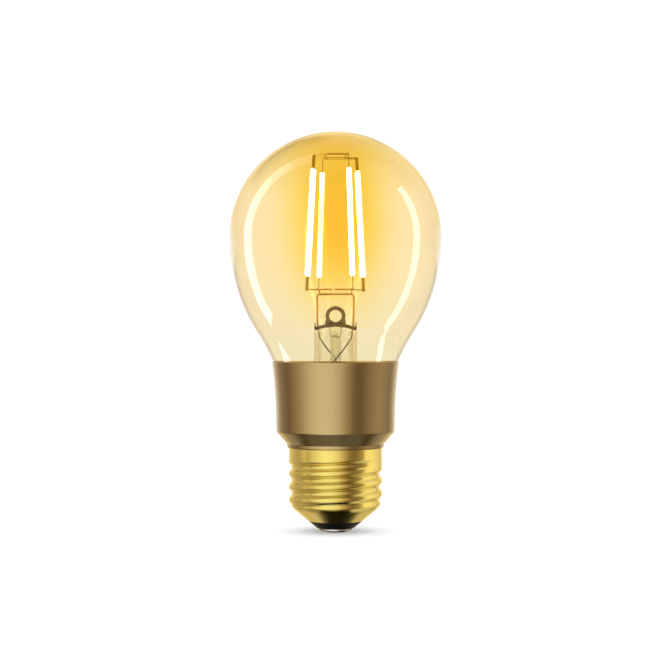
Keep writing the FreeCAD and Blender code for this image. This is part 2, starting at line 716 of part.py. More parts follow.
def stand_filament_piece(piece, index):
    """Put a piece of a filament, built upright, on the tilted line of filament 0 to 3."""
    x, y = filament_point(index, "filament_foot_distance")
    rise = number("tab_top - tab_bottom")
    lean = math.atan2(number("filament_foot_distance - filament_head_distance"), rise)
    bearing = math.radians(180 + number("filament_turn") + 90 * index)
    hinge = Vector(math.sin(bearing), -math.cos(bearing), 0)
    tilt = FreeCAD.Rotation(hinge, math.degrees(lean))
    spin = FreeCAD.Rotation(Vector(0, 0, 1), 90 * index)
    piece.Placement.Rotation = tilt.multiply(spin)
    piece.setExpression(".Placement.Base.x", bound(x))
    piece.setExpression(".Placement.Base.y", bound(y))
    piece.setExpression(".Placement.Base.z", bound("tab_bottom"))


def rounded_outline(sketch, width, depth, corner):
    """Rectangle with round corners, centred."""
    w, d = f"({width}) / 2", f"({depth}) / 2"
    wi, di = f"({width}) / 2 - {corner}", f"({depth}) / 2 - {corner}"
    return outline(sketch, [
        (f"-({wi})", f"-({d})"), (wi, f"-({d})", corner, 1),
        (w, f"-({di})"), (w, di, corner, 1),
        (wi, d), (f"-({wi})", d, corner, 1),
        (f"-({w})", di), (f"-({w})", f"-({di})", corner, 1),
    ])


def filament_phosphor(index):
    """Phosphor-loaded silicone body moulded round the ceramic strip."""
    body = new_body(f"led_filament_{index + 1}")
    section = new_sketch(body, "XY_Plane", lift="lit_start")
    pad(body, rounded_outline(section, "lit_width", "lit_depth", "lit_round"), "lit_length")
    channel = new_sketch(body, "XY_Plane", lift="lit_start")
    half_strip, half_chip = "strip_width / 2", "chip_width / 2"
    face = "strip_thickness / 2"
    top = f"{face} + bond_thickness + chip_thickness"
    outline(channel, [
        (f"-{half_strip}", f"-{face}"), (half_strip, f"-{face}"), (half_strip, face),
        (half_chip, face), (half_chip, top), (f"-{half_chip}", top),
        (f"-{half_chip}", face), (f"-{half_strip}", face),
    ])
    pocket(body, channel, "lit_length", upward=True)
    stand_filament_piece(body, index)


def filament_strip(index):
    """Ceramic strip inside a filament, from tab to tab."""
    strip = node(doc.addObject("Part::Box", f"filament_strip_{index + 1}"), f"filament_strip_{index + 1}")
    strip.setExpression("Length", bound("strip_width"))
    strip.setExpression("Width", bound("strip_thickness"))
    strip.setExpression("Height", bound("lit_length - 2 * tab_overlap"))
    stand_filament_piece(strip, index)
    shift = Vector(number("-strip_width / 2"), number("-strip_thickness / 2"), 0)
    shift.z = number("lit_start + tab_overlap")
    turned = strip.Placement.Rotation.multVec(shift)
    x, y = filament_point(index, "filament_foot_distance")
    strip.setExpression(".Placement.Base.x", bound(f"{x} + {turned.x}"))
    strip.setExpression(".Placement.Base.y", bound(f"{y} + {turned.y}"))
    strip.setExpression(".Placement.Base.z", bound(f"tab_bottom + {turned.z}"))


def filament_chips(index):
    """Row of LED chips on one bonding layer."""
    body = new_body(f"led_chips_{index + 1}")
    face, layer = "strip_thickness / 2", "bond_thickness"
    margin = "(lit_length - 27 * chip_pitch - chip_length) / 2"
    film = new_sketch(body, "XY_Plane", lift=f"lit_start + {margin}")
    box_outline(film, "0", f"{face} + {layer} / 2", "chip_width", layer)
    pad(body, film, "27 * chip_pitch + chip_length")
    chip = new_sketch(body, "XY_Plane", lift=f"lit_start + {margin}")
    box_outline(chip, "0", f"{face} + {layer} + chip_thickness / 2", "chip_width", "chip_thickness")
    first = pad(body, chip, "chip_length")
    pattern(body, first, "N_Axis", "chip_pitch", 28)
    stand_filament_piece(body, index)


def filament_tab(index, name, start, length):
    """Flat metal end of a filament, held in the end of the phosphor body."""
    body = new_body(f"{name}_{index + 1}")
    section = new_sketch(body, "XY_Plane", lift=start)
    pad(body, box_outline(section, "0", "0", "tab_width", "tab_thickness"), length)
    stand_filament_piece(body, index)
    return body


def led_filaments():
    """Four filaments; returns their lower and upper tabs."""
    reach = "lit_start + tab_overlap"
    far = "lit_start + lit_length - tab_overlap"
    full = "sqrt(pow(tab_top - tab_bottom; 2) + pow(filament_foot_distance - filament_head_distance; 2))"
    lower, upper = [], []
    for index in range(4):
        filament_phosphor(index)
        filament_strip(index)
        filament_chips(index)
        lower.append(filament_tab(index, "lower_tab", "0", reach))
        upper.append(filament_tab(index, "upper_tab", far, f"{full} - ({far})"))
    return lower, upper


# ---- collar and base -------------------------------------------------------------------------

def collar_housing():
    """Metal collar: flared rim, chamfered bottom, board ledge and sleeve for the screw shell."""
    revolve(new_body("collar_housing"), [
        ("sleeve_bore", "sleeve_bottom"),
        ("sleeve_radius", "sleeve_bottom"),
        ("sleeve_radius", "collar_bottom"),
        ("lip_radius", "collar_bottom"),
        ("lip_radius", "collar_bottom + lip_height"),
        ("chamfer_radius", "chamfer_top"),
        ("waist_radius", "waist_top", "flare_arc", -1),
        ("collar_rim_radius", "collar_rim", "rim_round", 1),
        ("collar_rim_radius - rim_round", "collar_rim + rim_round"),
        ("collar_rim_radius - rim_round - 0.02", "collar_rim"),
        ("collar_bore", "collar_bore_top"),
        ("collar_bore", "ledge_height"),
        ("ledge_bore", "ledge_height"),
        ("ledge_bore", "ledge_bottom"),
        ("sleeve_bore", "ledge_bottom"),
    ])


def neck_adhesive():
    """Ring of cement between the glass neck and the collar."""
    neck = glass_profile("0")[-1][0]
    top = glass_profile("0")[-2][1]
    revolve(new_body("neck_adhesive"), [
        (neck, "glass_end"), ("collar_bore", "glass_end"), ("collar_bore", top), (neck, top),
    ])


def screw_shell():
    """Brass E26 shell: plain band, rolled thread, rounded shoulder and cone."""
    body = new_body("screw_shell")
    lean_r, lean_z = "shell_wall * cos(cone_angle * 1deg)", "shell_wall * sin(cone_angle * 1deg)"
    cone_top = "(cone_bottom + (cone_top_radius - cone_radius) / tan(cone_angle * 1deg))"
    plain = revolve(body, [
        ("cone_radius", "cone_bottom"),
        ("cone_top_radius", cone_top, "shoulder_arc", 1),
        ("thread_radius", "shoulder_top"),
        ("thread_radius", "shell_top"),
        ("shell_bore", "shell_top"),
        ("shell_bore", "shell_bore_start"),
        (f"cone_top_radius - {lean_r}", f"{cone_top} + {lean_z}"),
        (f"cone_radius - {lean_r}", f"cone_bottom + {lean_z}"),
    ])
    cut_thread(body, plain)


def cut_thread(body, plain):
    """Helical groove with a round root and flanks that roll over onto the crest."""
    sweep = "asin(thread_pitch / (4 * thread_round))"
    flank_r = f"thread_radius - thread_depth + thread_round * (1 - cos({sweep}))"
    flank_z = "thread_pitch / 4"
    crest_z = "(thread_pitch / 2 - crest_land)"
    crest_r = "thread_radius - thread_round + sqrt(thread_round * thread_round - crest_land * crest_land)"
    groove = outline(new_sketch(body, "XZ_Plane"), [
        ("thread_radius + 0.3", f"thread_start - {crest_z}"),
        ("thread_radius + 0.3", f"thread_start + {crest_z}"),
        (crest_r, f"thread_start + {crest_z}", "thread_round", -1),
        (flank_r, f"thread_start + {flank_z}", "thread_round", 1),
        (flank_r, f"thread_start - {flank_z}", "thread_round", -1),
        (crest_r, f"thread_start - {crest_z}"),
    ])
    before = plain.Shape.Volume
    helix = body.newObject("PartDesign::SubtractiveHelix", "Thread")
    helix.Profile = groove
    helix.ReferenceAxis = (groove, ["V_Axis"])
    helix.Mode = 0
    helix.setExpression("Pitch", bound("thread_pitch"))
    helix.setExpression("Height", bound("thread_run"))
    helix.Angle = 0
    helix.LeftHanded = False
    helix.Reversed = False
    doc.recompute()
    if helix.Shape.Volume >= before - 50:
        raise RuntimeError("the thread removed too little")


def base_insulator():
    """Black moulded cone between shell and contact, with a plug inside the shell."""
    lean_r, lean_z = "shell_wall * cos(cone_angle * 1deg)", "shell_wall * sin(cone_angle * 1deg)"
    run = f"(insulator_neck - cone_radius + {lean_r}) / tan(cone_angle * 1deg)"
    hole = "rivet_radius + 0.05"
    revolve(new_body("base_insulator"), [
        (hole, "insulator_bottom"),
        ("insulator_radius", "insulator_bottom"),
        ("cone_radius", "cone_bottom"),
        (f"cone_radius - {lean_r}", f"cone_bottom + {lean_z}"),
        ("insulator_neck", f"cone_bottom + {lean_z} + {run}"),
        ("insulator_neck", "insulator_top"),
        (hole, "insulator_top"),
    ])


def centre_contact():
    """Contact disc with a rivet shank upset inside the base."""
    revolve(new_body("centre_contact"), [
        ("0", "0"),
        ("contact_radius - contact_round", "0", "contact_round", 1),
        ("contact_radius", "contact_round"),
        ("contact_radius", "insulator_bottom"),
        ("rivet_radius", "insulator_bottom"),
        ("rivet_radius", "insulator_top"),
        ("rivet_head", "insulator_top"),
        ("rivet_head", "insulator_top + rivet_head_height"),
        ("0", "insulator_top + rivet_head_height"),
    ])


# ---- electronics -----------------------------------------------------------------------------

BOARD_TOP = "(ledge_height + board_thickness)"


def pin_pairs():
    """Board positions of the component pins, as expressions."""
    return {
        "can": [(f"can_x {s} can_pin_gap / 2", "0") for s in "+-"],
        "coil": [("coil_x", f"{s}coil_pin_gap / 2") for s in ("", "-")],
        "film": [(f"{s}film_pin_gap / 2", "film_y") for s in ("", "-")],
        "fuse": [("0", "fuse_y")],
    }


def add_pins(body, places, stand="pin_stand"):
    """Pins that stand through the board above a component."""
    sketch = new_sketch(body, "XY_Plane", lift="ledge_height")
    for x, y in places:
        circle(sketch, x, y, "pin_radius")
    pad(body, sketch, f"board_thickness + {stand}")


def lead_hole(side):
    """Board position of a lead wire."""
    turn = "lead_splay * 1deg"
    return (
        f"{side}(lead_reach * cos({turn}) - lead_start)",
        f"{side}lead_reach * sin({turn})",
    )


def driver_board():
    body = new_body("driver_board")
    disc = new_sketch(body, "XY_Plane", lift="ledge_height")
    pad(body, circle(disc, "0", "0", "board_radius"), "board_thickness")
    holes = new_sketch(body, "XY_Plane", lift="ledge_height")
    for places in pin_pairs().values():
        for x, y in places:
            circle(holes, x, y, "pin_radius + hole_clearance")
    for side in ("", "-"):
        circle(holes, *lead_hole(side), "lead_wire_radius + hole_clearance")
    pocket(body, holes, "board_thickness", upward=True)


def ring_component(name, x, corners, pins):
    """Round component under the board, turned about its own axis, with pins."""
    body = new_body(name)
    sketch = outline(new_sketch(body, "XZ_Plane"), [(f"{x} + {c[0]}", *c[1:]) for c in corners])
    axle = sketch.addGeometry(
        Part.LineSegment(Vector(number(x), 0, 0), Vector(number(x), 30, 0)), True
    )
    for end, height in ((1, "0"), (2, "ledge_height")):
        pin_point(sketch, axle, end, x, height)
    feature = body.newObject("PartDesign::Revolution", "Revolution")
    feature.Profile = sketch
    feature.ReferenceAxis = (sketch, ["Axis0"])
    feature.Angle = 360
    doc.recompute()
    if pins:
        add_pins(body, pins)
    return body


def bulk_capacitor():
    low, crimp = "ledge_height - can_length", "ledge_height - 2"
    ring_component("bulk_capacitor", "can_x", [
        ("0", low),
        ("can_radius - can_round", low, "can_round", 1),
        ("can_radius", f"{low} + can_round"),
        ("can_radius", f"{crimp} - 2 * can_groove", "can_groove", -1),
        ("can_radius", crimp),
        ("can_radius", "ledge_height"),
        ("0", "ledge_height"),
    ], pin_pairs()["can"])


def inductor():
    low = "ledge_height - coil_length"
    ring_component("inductor_core", "coil_x", [
        ("0", low), ("coil_radius", low), ("coil_radius", f"{low} + coil_flange"),
        ("coil_core", f"{low} + coil_flange"), ("coil_core", "ledge_height - coil_flange"),
        ("coil_radius", "ledge_height - coil_flange"), ("coil_radius", "ledge_height"),
        ("0", "ledge_height"),
    ], pin_pairs()["coil"])
    ring_component("inductor_winding", "coil_x", [
        ("coil_core", f"{low} + coil_flange"), ("coil_winding", f"{low} + coil_flange"),
        ("coil_winding", "ledge_height - coil_flange"), ("coil_core", "ledge_height - coil_flange"),
    ], None)


def film_capacitor():
    body = new_body("film_capacitor")
    sketch = new_sketch(body, "XY_Plane", lift="ledge_height")
    block = pad(body, box_outline(sketch, "0", "film_y", "film_width", "film_depth"),
                "film_height", downward=True)
    fillet(body, block, "0.4mm", lambda edge: edge.BoundBox.ZLength > 1)
    add_pins(body, pin_pairs()["film"], stand="0")


def fuse_resistor():
    """Dog-bone resistor hung under the board on its own soldered lead."""
    body = new_body("fuse_resistor")
    top = "ledge_height - fuse_gap"
    low = f"{top} - fuse_length"
    revolve(body, [
        ("0", low), ("fuse_radius", low), ("fuse_radius", f"{low} + 1.4"),
        ("fuse_waist", f"{low} + 1.9"), ("fuse_waist", f"{top} - 1.9"),
        ("fuse_radius", f"{top} - 1.4"), ("fuse_radius", top), ("pin_radius", top),
        ("pin_radius", BOARD_TOP), ("pin_radius * 2.5", BOARD_TOP),
        ("pin_radius", f"{BOARD_TOP} + pin_stand * 0.7"),
        ("pin_radius", f"{BOARD_TOP} + pin_stand"), ("0", f"{BOARD_TOP} + pin_stand"),
    ])
    place(body, y="fuse_y")


def legged_chip(name, x, y, width, depth, height, pitch, count):
    """Moulded package on the board with a row of legs on each long side."""
    body = new_body(name)
    case = new_sketch(body, "XY_Plane", lift=f"{BOARD_TOP} + 0.1")
    block = pad(body, box_outline(case, "0", "0", width, depth), height)
    middle = f"{BOARD_TOP} + 0.1"
    for side in ("", "-"):
        legs = new_sketch(body, "XY_Plane", lift=BOARD_TOP)
        reach = f"({depth}) / 2 + gull_reach / 2 - 0.2"
        box_outline(legs, f"-({pitch}) * {(count - 1) / 2}", f"{side}({reach})", "gull_width",
                    "gull_reach + 0.4")
        leg = pad(body, legs, "gull_thickness + 0.1")
        pattern(body, leg, "H_Axis", pitch, count)
    place(body, x=x, y=y)
    return block, middle


def radio_module():
    body = new_body("wifi_board")
    sketch = new_sketch(body, "XY_Plane", lift=BOARD_TOP)
    pad(body, box_outline(sketch, "0", "0", "module_width", "module_depth"), "module_thickness")
    notch = new_sketch(body, "XY_Plane", lift=BOARD_TOP)
    circle(notch, "-module_width / 2 + 1.5", "-module_depth / 2", "0.4mm")
    cut = pocket(body, notch, "module_thickness", upward=True)
    pattern(body, cut, "H_Axis", "1.5", 8)
    place(body, y="module_y")

    top = f"({BOARD_TOP} + module_thickness)"
    can = new_body("wifi_shield_can")
    base = new_sketch(can, "XY_Plane", lift=top)
    block = pad(can, box_outline(base, "0", "0", "shield_width", "shield_depth"), "shield_height")
    fillet(can, block, "0.5mm", lambda edge: edge.BoundBox.ZLength > 1)
    hollow = new_sketch(can, "XY_Plane", lift=top)
    box_outline(hollow, "0", "0", "shield_width - 2 * shield_wall", "shield_depth - 2 * shield_wall")
    pocket(can, hollow, "shield_height - shield_wall", upward=True)
    place(can, x="shield_x", y="module_y")
    antenna(top)


def antenna(top):
    """Meander of copper on the free end of the module."""
    body = new_body("wifi_antenna")
    step, line = "antenna_gap", "antenna_trace"
    left = "-module_width / 2 + 0.8"
    for row in range(5):
        level = f"-2 * {step} + {row} * {step}"
        run = new_sketch(body, "XY_Plane", lift=top)
        box_outline(run, f"{left} + antenna_length / 2", level, "antenna_length", line)
        pad(body, run, "antenna_thickness")
        if row < 4:
            side = f"antenna_length - {line} / 2" if row % 2 else f"{line} / 2"
            link = new_sketch(body, "XY_Plane", lift=top)
            box_outline(link, f"{left} + {side}", f"{level} + {step} / 2", line, f"{step} + {line}")
            pad(body, link, "antenna_thickness")
    place(body, y="module_y")


def supply_wires():
    """Live wire from the rivet and neutral wire from the shell to the board."""
    live = bent_wire("live_wire", [
        ("0", "ledge_height"),
        ("0", "live_turn_height"),
        ("-sqrt(supply_x * supply_x + supply_y * supply_y)", "live_turn_height - 3"),
        (
            "-sqrt(supply_x * supply_x + supply_y * supply_y)",
            "insulator_top + rivet_head_height",
        ),
    ], [None, "live_bend", "live_bend"], "supply_radius")
    place(live, x="0", y="-sqrt(supply_x * supply_x + supply_y * supply_y)", turn="-90")
    neutral = bent_wire("neutral_wire", [
        ("0", "ledge_height"),
        ("0", "neutral_turn_height"),
        ("shell_bore - 0.01 + neutral_y", "neutral_turn_height"),
    ], [None, "neutral_bend"], "supply_radius * 0.8")
    place(neutral, y="neutral_y", turn="-90")


def check_and_export():
    """Stop on any broken object, then write one STEP file for each sub-part."""
    doc.recompute()
    for thing in doc.Objects:
        if any(word in thing.State for word in ("Invalid", "Error")):
            raise RuntimeError(f"{thing.Label} is broken: {thing.State}")
    os.makedirs("parts", exist_ok=True)
    for thing in nodes:
        shape = thing.Shape
        if shape.isNull() or not shape.isValid() or not shape.Solids:
            raise RuntimeError(f"{thing.Label} has no good shape")
        shape.exportStep(f"parts/{thing.Label}.step")


fill_sheet()
glass_envelope()
stem_tube()
stem_press()
exhaust_tube()
electrodes()
lead_wires()
crossbars = {
    "-": crossbar("crossbar_left", "-bar_outer_end", "left_bar_inner_end", "-riser_position"),
    "": crossbar("crossbar_right", "bar_outer_end", "right_bar_inner_end", "riser_position"),
}
bridge_loop = top_bridge()
filament_arms(crossbars, bridge_loop, *led_filaments())
neck_adhesive()
collar_housing()
screw_shell()
base_insulator()
centre_contact()
driver_board()
bulk_capacitor()
inductor()
film_capacitor()
fuse_resistor()
legged_chip("bridge_rectifier", "rectifier_x", "rectifier_y", "rectifier_width",
            "rectifier_depth", "rectifier_height", "gull_pitch * 2", 2)
legged_chip("driver_ic", "ic_x", "ic_y", "ic_width", "ic_depth", "ic_height", "gull_pitch", 4)
radio_module()
supply_wires()
check_and_export()
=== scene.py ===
import json
import math

import bmesh
import bpy
from mathutils import Matrix, Vector

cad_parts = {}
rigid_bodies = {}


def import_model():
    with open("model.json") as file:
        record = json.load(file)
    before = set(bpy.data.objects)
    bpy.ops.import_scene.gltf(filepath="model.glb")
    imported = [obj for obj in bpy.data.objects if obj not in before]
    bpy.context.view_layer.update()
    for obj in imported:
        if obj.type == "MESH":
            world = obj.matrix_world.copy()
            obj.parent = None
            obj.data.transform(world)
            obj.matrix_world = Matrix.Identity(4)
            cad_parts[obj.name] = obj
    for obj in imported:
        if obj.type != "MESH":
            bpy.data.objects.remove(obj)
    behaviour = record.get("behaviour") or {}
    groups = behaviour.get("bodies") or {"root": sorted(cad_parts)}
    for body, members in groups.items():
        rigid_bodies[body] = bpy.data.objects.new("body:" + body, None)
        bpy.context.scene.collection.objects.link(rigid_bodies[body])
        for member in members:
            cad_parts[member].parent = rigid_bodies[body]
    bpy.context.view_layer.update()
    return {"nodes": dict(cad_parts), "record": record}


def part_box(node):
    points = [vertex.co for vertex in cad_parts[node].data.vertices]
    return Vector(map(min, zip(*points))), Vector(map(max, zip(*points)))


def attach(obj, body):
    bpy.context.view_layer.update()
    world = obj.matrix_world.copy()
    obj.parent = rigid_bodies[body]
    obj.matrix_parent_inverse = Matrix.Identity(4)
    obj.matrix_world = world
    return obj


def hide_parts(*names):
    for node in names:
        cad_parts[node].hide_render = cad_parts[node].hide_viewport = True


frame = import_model()
MM = 0.001


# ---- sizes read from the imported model, in millimetres ----

def span(node):
    """Lowest and highest corner of a CAD node, in millimetres."""
    low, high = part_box(node)
    return low / MM, high / MM


GLASS_R = span("glass_envelope")[1].x
GLASS_TOP = span("glass_envelope")[1].z
GLASS_END = span("glass_envelope")[0].z
COLLAR_R = span("collar_housing")[1].x
COLLAR_TOP = span("collar_housing")[1].z
SHELL_R = span("screw_shell")[1].x
SHELL_TOP = span("screw_shell")[1].z
SHELL_LOW = span("screw_shell")[0].z
RING_LOW = span("base_insulator")[0].z
CONTACT_R = span("centre_contact")[1].x
STEM_TOP = span("stem_tube")[1].z
EYE_TOP = span("stem_press")[1].z
POST_TOP = span("crossbar_left")[0].z - 0.28
BAR_Z = span("crossbar_left")[1].z - 0.25
BRIDGE_Z = (span("top_bridge")[0].z + span("top_bridge")[1].z) / 2


# ---- mesh tools ----

def put(name, data):
    """Object in the scene for a mesh, a light or a camera."""
    thing = bpy.data.objects.new(name, data)
    bpy.context.scene.collection.objects.link(thing)
    return thing


def new_object(name, vertices, faces, sharp=40):
    """Mesh object from points in millimetres, smooth except at edges sharper than the angle."""
    mesh = bpy.data.meshes.new(name)
    mesh.from_pydata([Vector(v) * MM for v in vertices], [], faces)
    mesh.validate()
    shape = bmesh.new()
    shape.from_mesh(mesh)
    bmesh.ops.recalc_face_normals(shape, faces=shape.faces)
    shape.to_mesh(mesh)
    shape.free()
    mesh.polygons.foreach_set("use_smooth", [True] * len(mesh.polygons))
    if sharp:
        mesh.set_sharp_from_angle(angle=math.radians(sharp))
    return put(name, mesh)


def full_turn(count):
    """Angles of evenly spread points on a circle."""
    return [2 * math.pi * k / count for k in range(count)]


def circle(r, z, count):
    """Points on a circle around the bulb's axis."""
    return [(r * math.cos(t), r * math.sin(t), z) for t in full_turn(count)]


def arc(cx, cz, radius, start, stop, count):
    """Points of an arc in a profile, angles in degrees from +r towards +z."""
    turns = [math.radians(start + (stop - start) * i / count) for i in range(count + 1)]
    return [(cx + radius * math.cos(t), cz + radius * math.sin(t)) for t in turns]


def arc_through(start, finish, radius, side, count):
    """Arc between two profile points, its centre left (+1) or right (-1) of the way."""
    a, b = Vector(start), Vector(finish)
    chord = b - a
    left = Vector((-chord.y, chord.x)).normalized()
    centre = (a + b) / 2 + left * side * math.sqrt(max(radius ** 2 - chord.length ** 2 / 4, 0))
    first = math.atan2(a.y - centre.y, a.x - centre.x)
    last = math.atan2(b.y - centre.y, b.x - centre.x)
    if side > 0 and last < first:
        last += 2 * math.pi
    if side < 0 and last > first:
        last -= 2 * math.pi
    turns = [first + (last - first) * i / count for i in range(count + 1)]
    return [(centre.x + radius * math.cos(t), centre.y + radius * math.sin(t)) for t in turns]


def soften(profile, radii, count=6):
    """Round the named corners of a profile: radii maps the corner's index to its radius."""
    out = []
    last = len(profile) - 1
    for i, point in enumerate(profile):
        radius = radii.get(i, 0)
        if not radius or i in (0, last):
            out.append(point)
            continue
        here = Vector(point)
        back = (Vector(profile[i - 1]) - here).normalized()
        ahead = (Vector(profile[i + 1]) - here).normalized()
        half = back.angle(ahead) / 2
        cut = radius / math.tan(half)
        centre = here + (back + ahead).normalized() * radius / math.sin(half)
        a = here + back * cut - centre
        b = here + ahead * cut - centre
        turn = a.angle_signed(b)
        for k in range(count + 1):
            t = -turn * k / count
            out.append((
                centre.x + a.x * math.cos(t) - a.y * math.sin(t),
                centre.y + a.x * math.sin(t) + a.y * math.cos(t),
            ))
    return out


def supported(profile, loop):
    """Profile with points close to both ends of long straight runs, so that they shade flat."""
    out = []
    pairs = list(zip(profile, profile[1:] + profile[:1]))
    for i, (a, b) in enumerate(pairs):
        out.append(a)
        run = math.dist(a, b)
        if run > 0.8 and (loop or i < len(pairs) - 1):
            share = 0.12 / run
            for t in (share, 1 - share):
                out.append((a[0] + (b[0] - a[0]) * t, a[1] + (b[1] - a[1]) * t))
    return out


def lathe(name, profile, steps=180, loop=False, sharp=40):
    """Surface of revolution. A closed profile (loop) makes a ring-shaped solid."""
    profile = supported(profile, loop)
    vertices, rings, faces = [], [], []
    for r, z in profile:
        if r < 1e-6:
            rings.append([len(vertices)] * steps)
            vertices.append((0, 0, z))
            continue
        rings.append(list(range(len(vertices), len(vertices) + steps)))
        vertices += circle(r, z, steps)
    pairs = list(zip(rings, rings[1:]))
    if loop:
        pairs.append((rings[-1], rings[0]))
    for lower, upper in pairs:
        for k in range(steps):
            n = (k + 1) % steps
            corners = list(dict.fromkeys([lower[k], lower[n], upper[n], upper[k]]))
            if len(corners) > 2:
                faces.append(corners)
    return new_object(name, vertices, faces, sharp)


def bend(points, radius, count=8):
    """Path with its inner corners replaced by arcs."""
    points = [Vector(p) for p in points]
    out = [points[0]]
    for before, here, after in zip(points, points[1:], points[2:]):
        back = (before - here).normalized()
        ahead = (after - here).normalized()
        half = back.angle(ahead) / 2
        if half > math.radians(89):
            out.append(here)
            continue
        cut = min(radius / math.tan(half), (before - here).length / 2, (after - here).length / 2)
        real = cut * math.tan(half)
        centre = here + (back + ahead).normalized() * real / math.sin(half)
        a, b = here + back * cut - centre, here + ahead * cut - centre
        for k in range(count + 1):
            out.append(centre + a.slerp(b, k / count))
    out.append(points[-1])
    return out


def smooth_path(points, count=10):
    """Catmull-Rom curve through the points."""
    points = [Vector(p) for p in points]
    ends = [2 * points[0] - points[1]] + points + [2 * points[-1] - points[-2]]
    out = []
    for a, b, c, d in zip(ends, ends[1:], ends[2:], ends[3:]):
        for k in range(count):
            t = k / count
            out.append(0.5 * (
                2 * b + (c - a) * t + (2 * a - 5 * b + 4 * c - d) * t ** 2
                + (3 * b - a - 3 * c + d) * t ** 3
            ))
    out.append(points[-1])
    return out


def tube_faces(rings, sides, closed=False):
    """Faces between rings of points. An open tube gets a lid at both ends."""
    faces = []
    for i in range(rings if closed else rings - 1):
        j = (i + 1) % rings
        for k in range(sides):
            n = (k + 1) % sides
            faces.append([i * sides + k, i * sides + n, j * sides + n, j * sides + k])
    if not closed:
        faces.append(list(range(sides))[::-1])
        faces.append([(rings - 1) * sides + k for k in range(sides)])
    return faces


def wire_mesh(path, radius, sides=14, closed=False, taper=None):
    """Vertices and faces of a round wire along a path, with domed ends."""
    path = [Vector(p) for p in path]
    count = len(path)
    tangents = []
    for i in range(count):
        before = path[i - 1] if i or closed else path[i]
        after = path[(i + 1) % count] if i < count - 1 or closed else path[i]
        tangents.append((after - before).normalized())
    normal = tangents[0].orthogonal().normalized()
    rings = []
    for i, (point, tangent) in enumerate(zip(path, tangents)):
        normal = (normal - tangent * normal.dot(tangent)).normalized()
        side = tangent.cross(normal)
        size = radius * (taper(i / (count - 1)) if taper else 1)
        rings.append([point + (normal * math.cos(t) + side * math.sin(t)) * size
                      for t in full_turn(sides)])
    if not closed:
        for place, tangent, ring in ((0, -tangents[0], rings[0]), (-1, tangents[-1], rings[-1])):
            centre = path[place]
            domes = []
            for turn in (30, 60, 80):
                a = math.radians(turn)
                lift = tangent * radius * math.sin(a) * 0.6
                domes.append([centre + (p - centre) * math.cos(a) + lift for p in ring])
            rings = domes[::-1] + rings if place == 0 else rings + domes
    vertices = [p for ring in rings for p in ring]
    return vertices, tube_faces(len(rings), sides, closed)


def merge(parts):
    """One vertex and face list from several."""
    vertices, faces = [], []
    for some, shapes in parts:
        shift = len(vertices)
        vertices += some
        faces += [[i + shift for i in face] for face in shapes]
    return vertices, faces


def bead(centre, radius, stretch=(1, 1, 1), detail=3):
    """Vertices and faces of a small blob of solder or weld metal."""
    shape = bmesh.new()
    bmesh.ops.create_icosphere(shape, subdivisions=detail, radius=1)
    centre = Vector(centre)
    vertices = [
        centre + Vector((v.co.x * stretch[0], v.co.y * stretch[1], v.co.z * stretch[2])) * radius
        for v in shape.verts
    ]
    faces = [[v.index for v in face.verts] for face in shape.faces]
    shape.free()
    return vertices, faces


def give_material(thing, material):
    """Make a material the only one of an object."""
    thing.data.materials.clear()
    thing.data.materials.append(material)


def finish_piece(piece, material, slot, *nodes):
    """Give a piece its material, put it on the root body and hide the CAD nodes it stands for. The
    slot is not used.
    """
    give_material(piece, material)
    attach(piece, "root")
    if nodes:
        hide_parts(*nodes)
    return piece


# ---- material tools ----

class Nodes:
    """Short ways to add and link the nodes of a material or of the world."""

    def __init__(self, tree):
        self.tree = tree

    def node(self, kind, values=(), **settings):
        """New shader node with constants on its inputs and settings of its own."""
        made = self.tree.nodes.new("ShaderNode" + kind)
        for key, value in settings.items():
            setattr(made, key, value)
        for key, value in dict(values).items():
            made.inputs[key].default_value = value
        return made

    def link(self, source, target):
        self.tree.links.new(source, target)

    def ramp(self, factor, stops, ease="LINEAR"):
        """Colour that follows a factor through stops of (position, colour)."""
        made = self.node("ValToRGB")
        made.color_ramp.interpolation = ease
        stops = [(at, (*value, 1)) for at, value in stops]
        elements = made.color_ramp.elements
        elements[0].position, elements[0].color = stops[0]
        elements[1].position, elements[1].color = stops[-1]
        for at, value in stops[1:-1]:
            elements.new(at).color = value
        self.link(factor, made.inputs["Fac"])
        return made.outputs["Color"]

    def spread(self, factor, low, high, first, last, ease="LINEAR"):
        """Value that goes from low to high while the factor goes from first to last."""
        made = self.node("MapRange", {
            "From Min": first, "From Max": last, "To Min": low, "To Max": high,
        }, interpolation_type=ease)
        self.link(factor, made.inputs["Value"])
        return made.outputs["Result"]

    def math(self, operation, *values):
        made = self.node("Math", operation=operation)
        for slot, value in zip(made.inputs, values):
            if isinstance(value, (int, float)):
                slot.default_value = value
            else:
                self.link(value, slot)
        return made.outputs["Value"]

    def mix(self, factor, a, b, blend="MIX"):
        made = self.node("Mix", data_type="RGBA", blend_type=blend)
        for name, value in (("Factor", factor), ("A", a), ("B", b)):
            slot = next(s for s in made.inputs if s.name == name and s.enabled)
            if isinstance(value, (int, float)):
                slot.default_value = value
            elif isinstance(value, tuple):
                slot.default_value = (*value, 1)
            else:
                self.link(value, slot)
        return next(s for s in made.outputs if s.enabled)


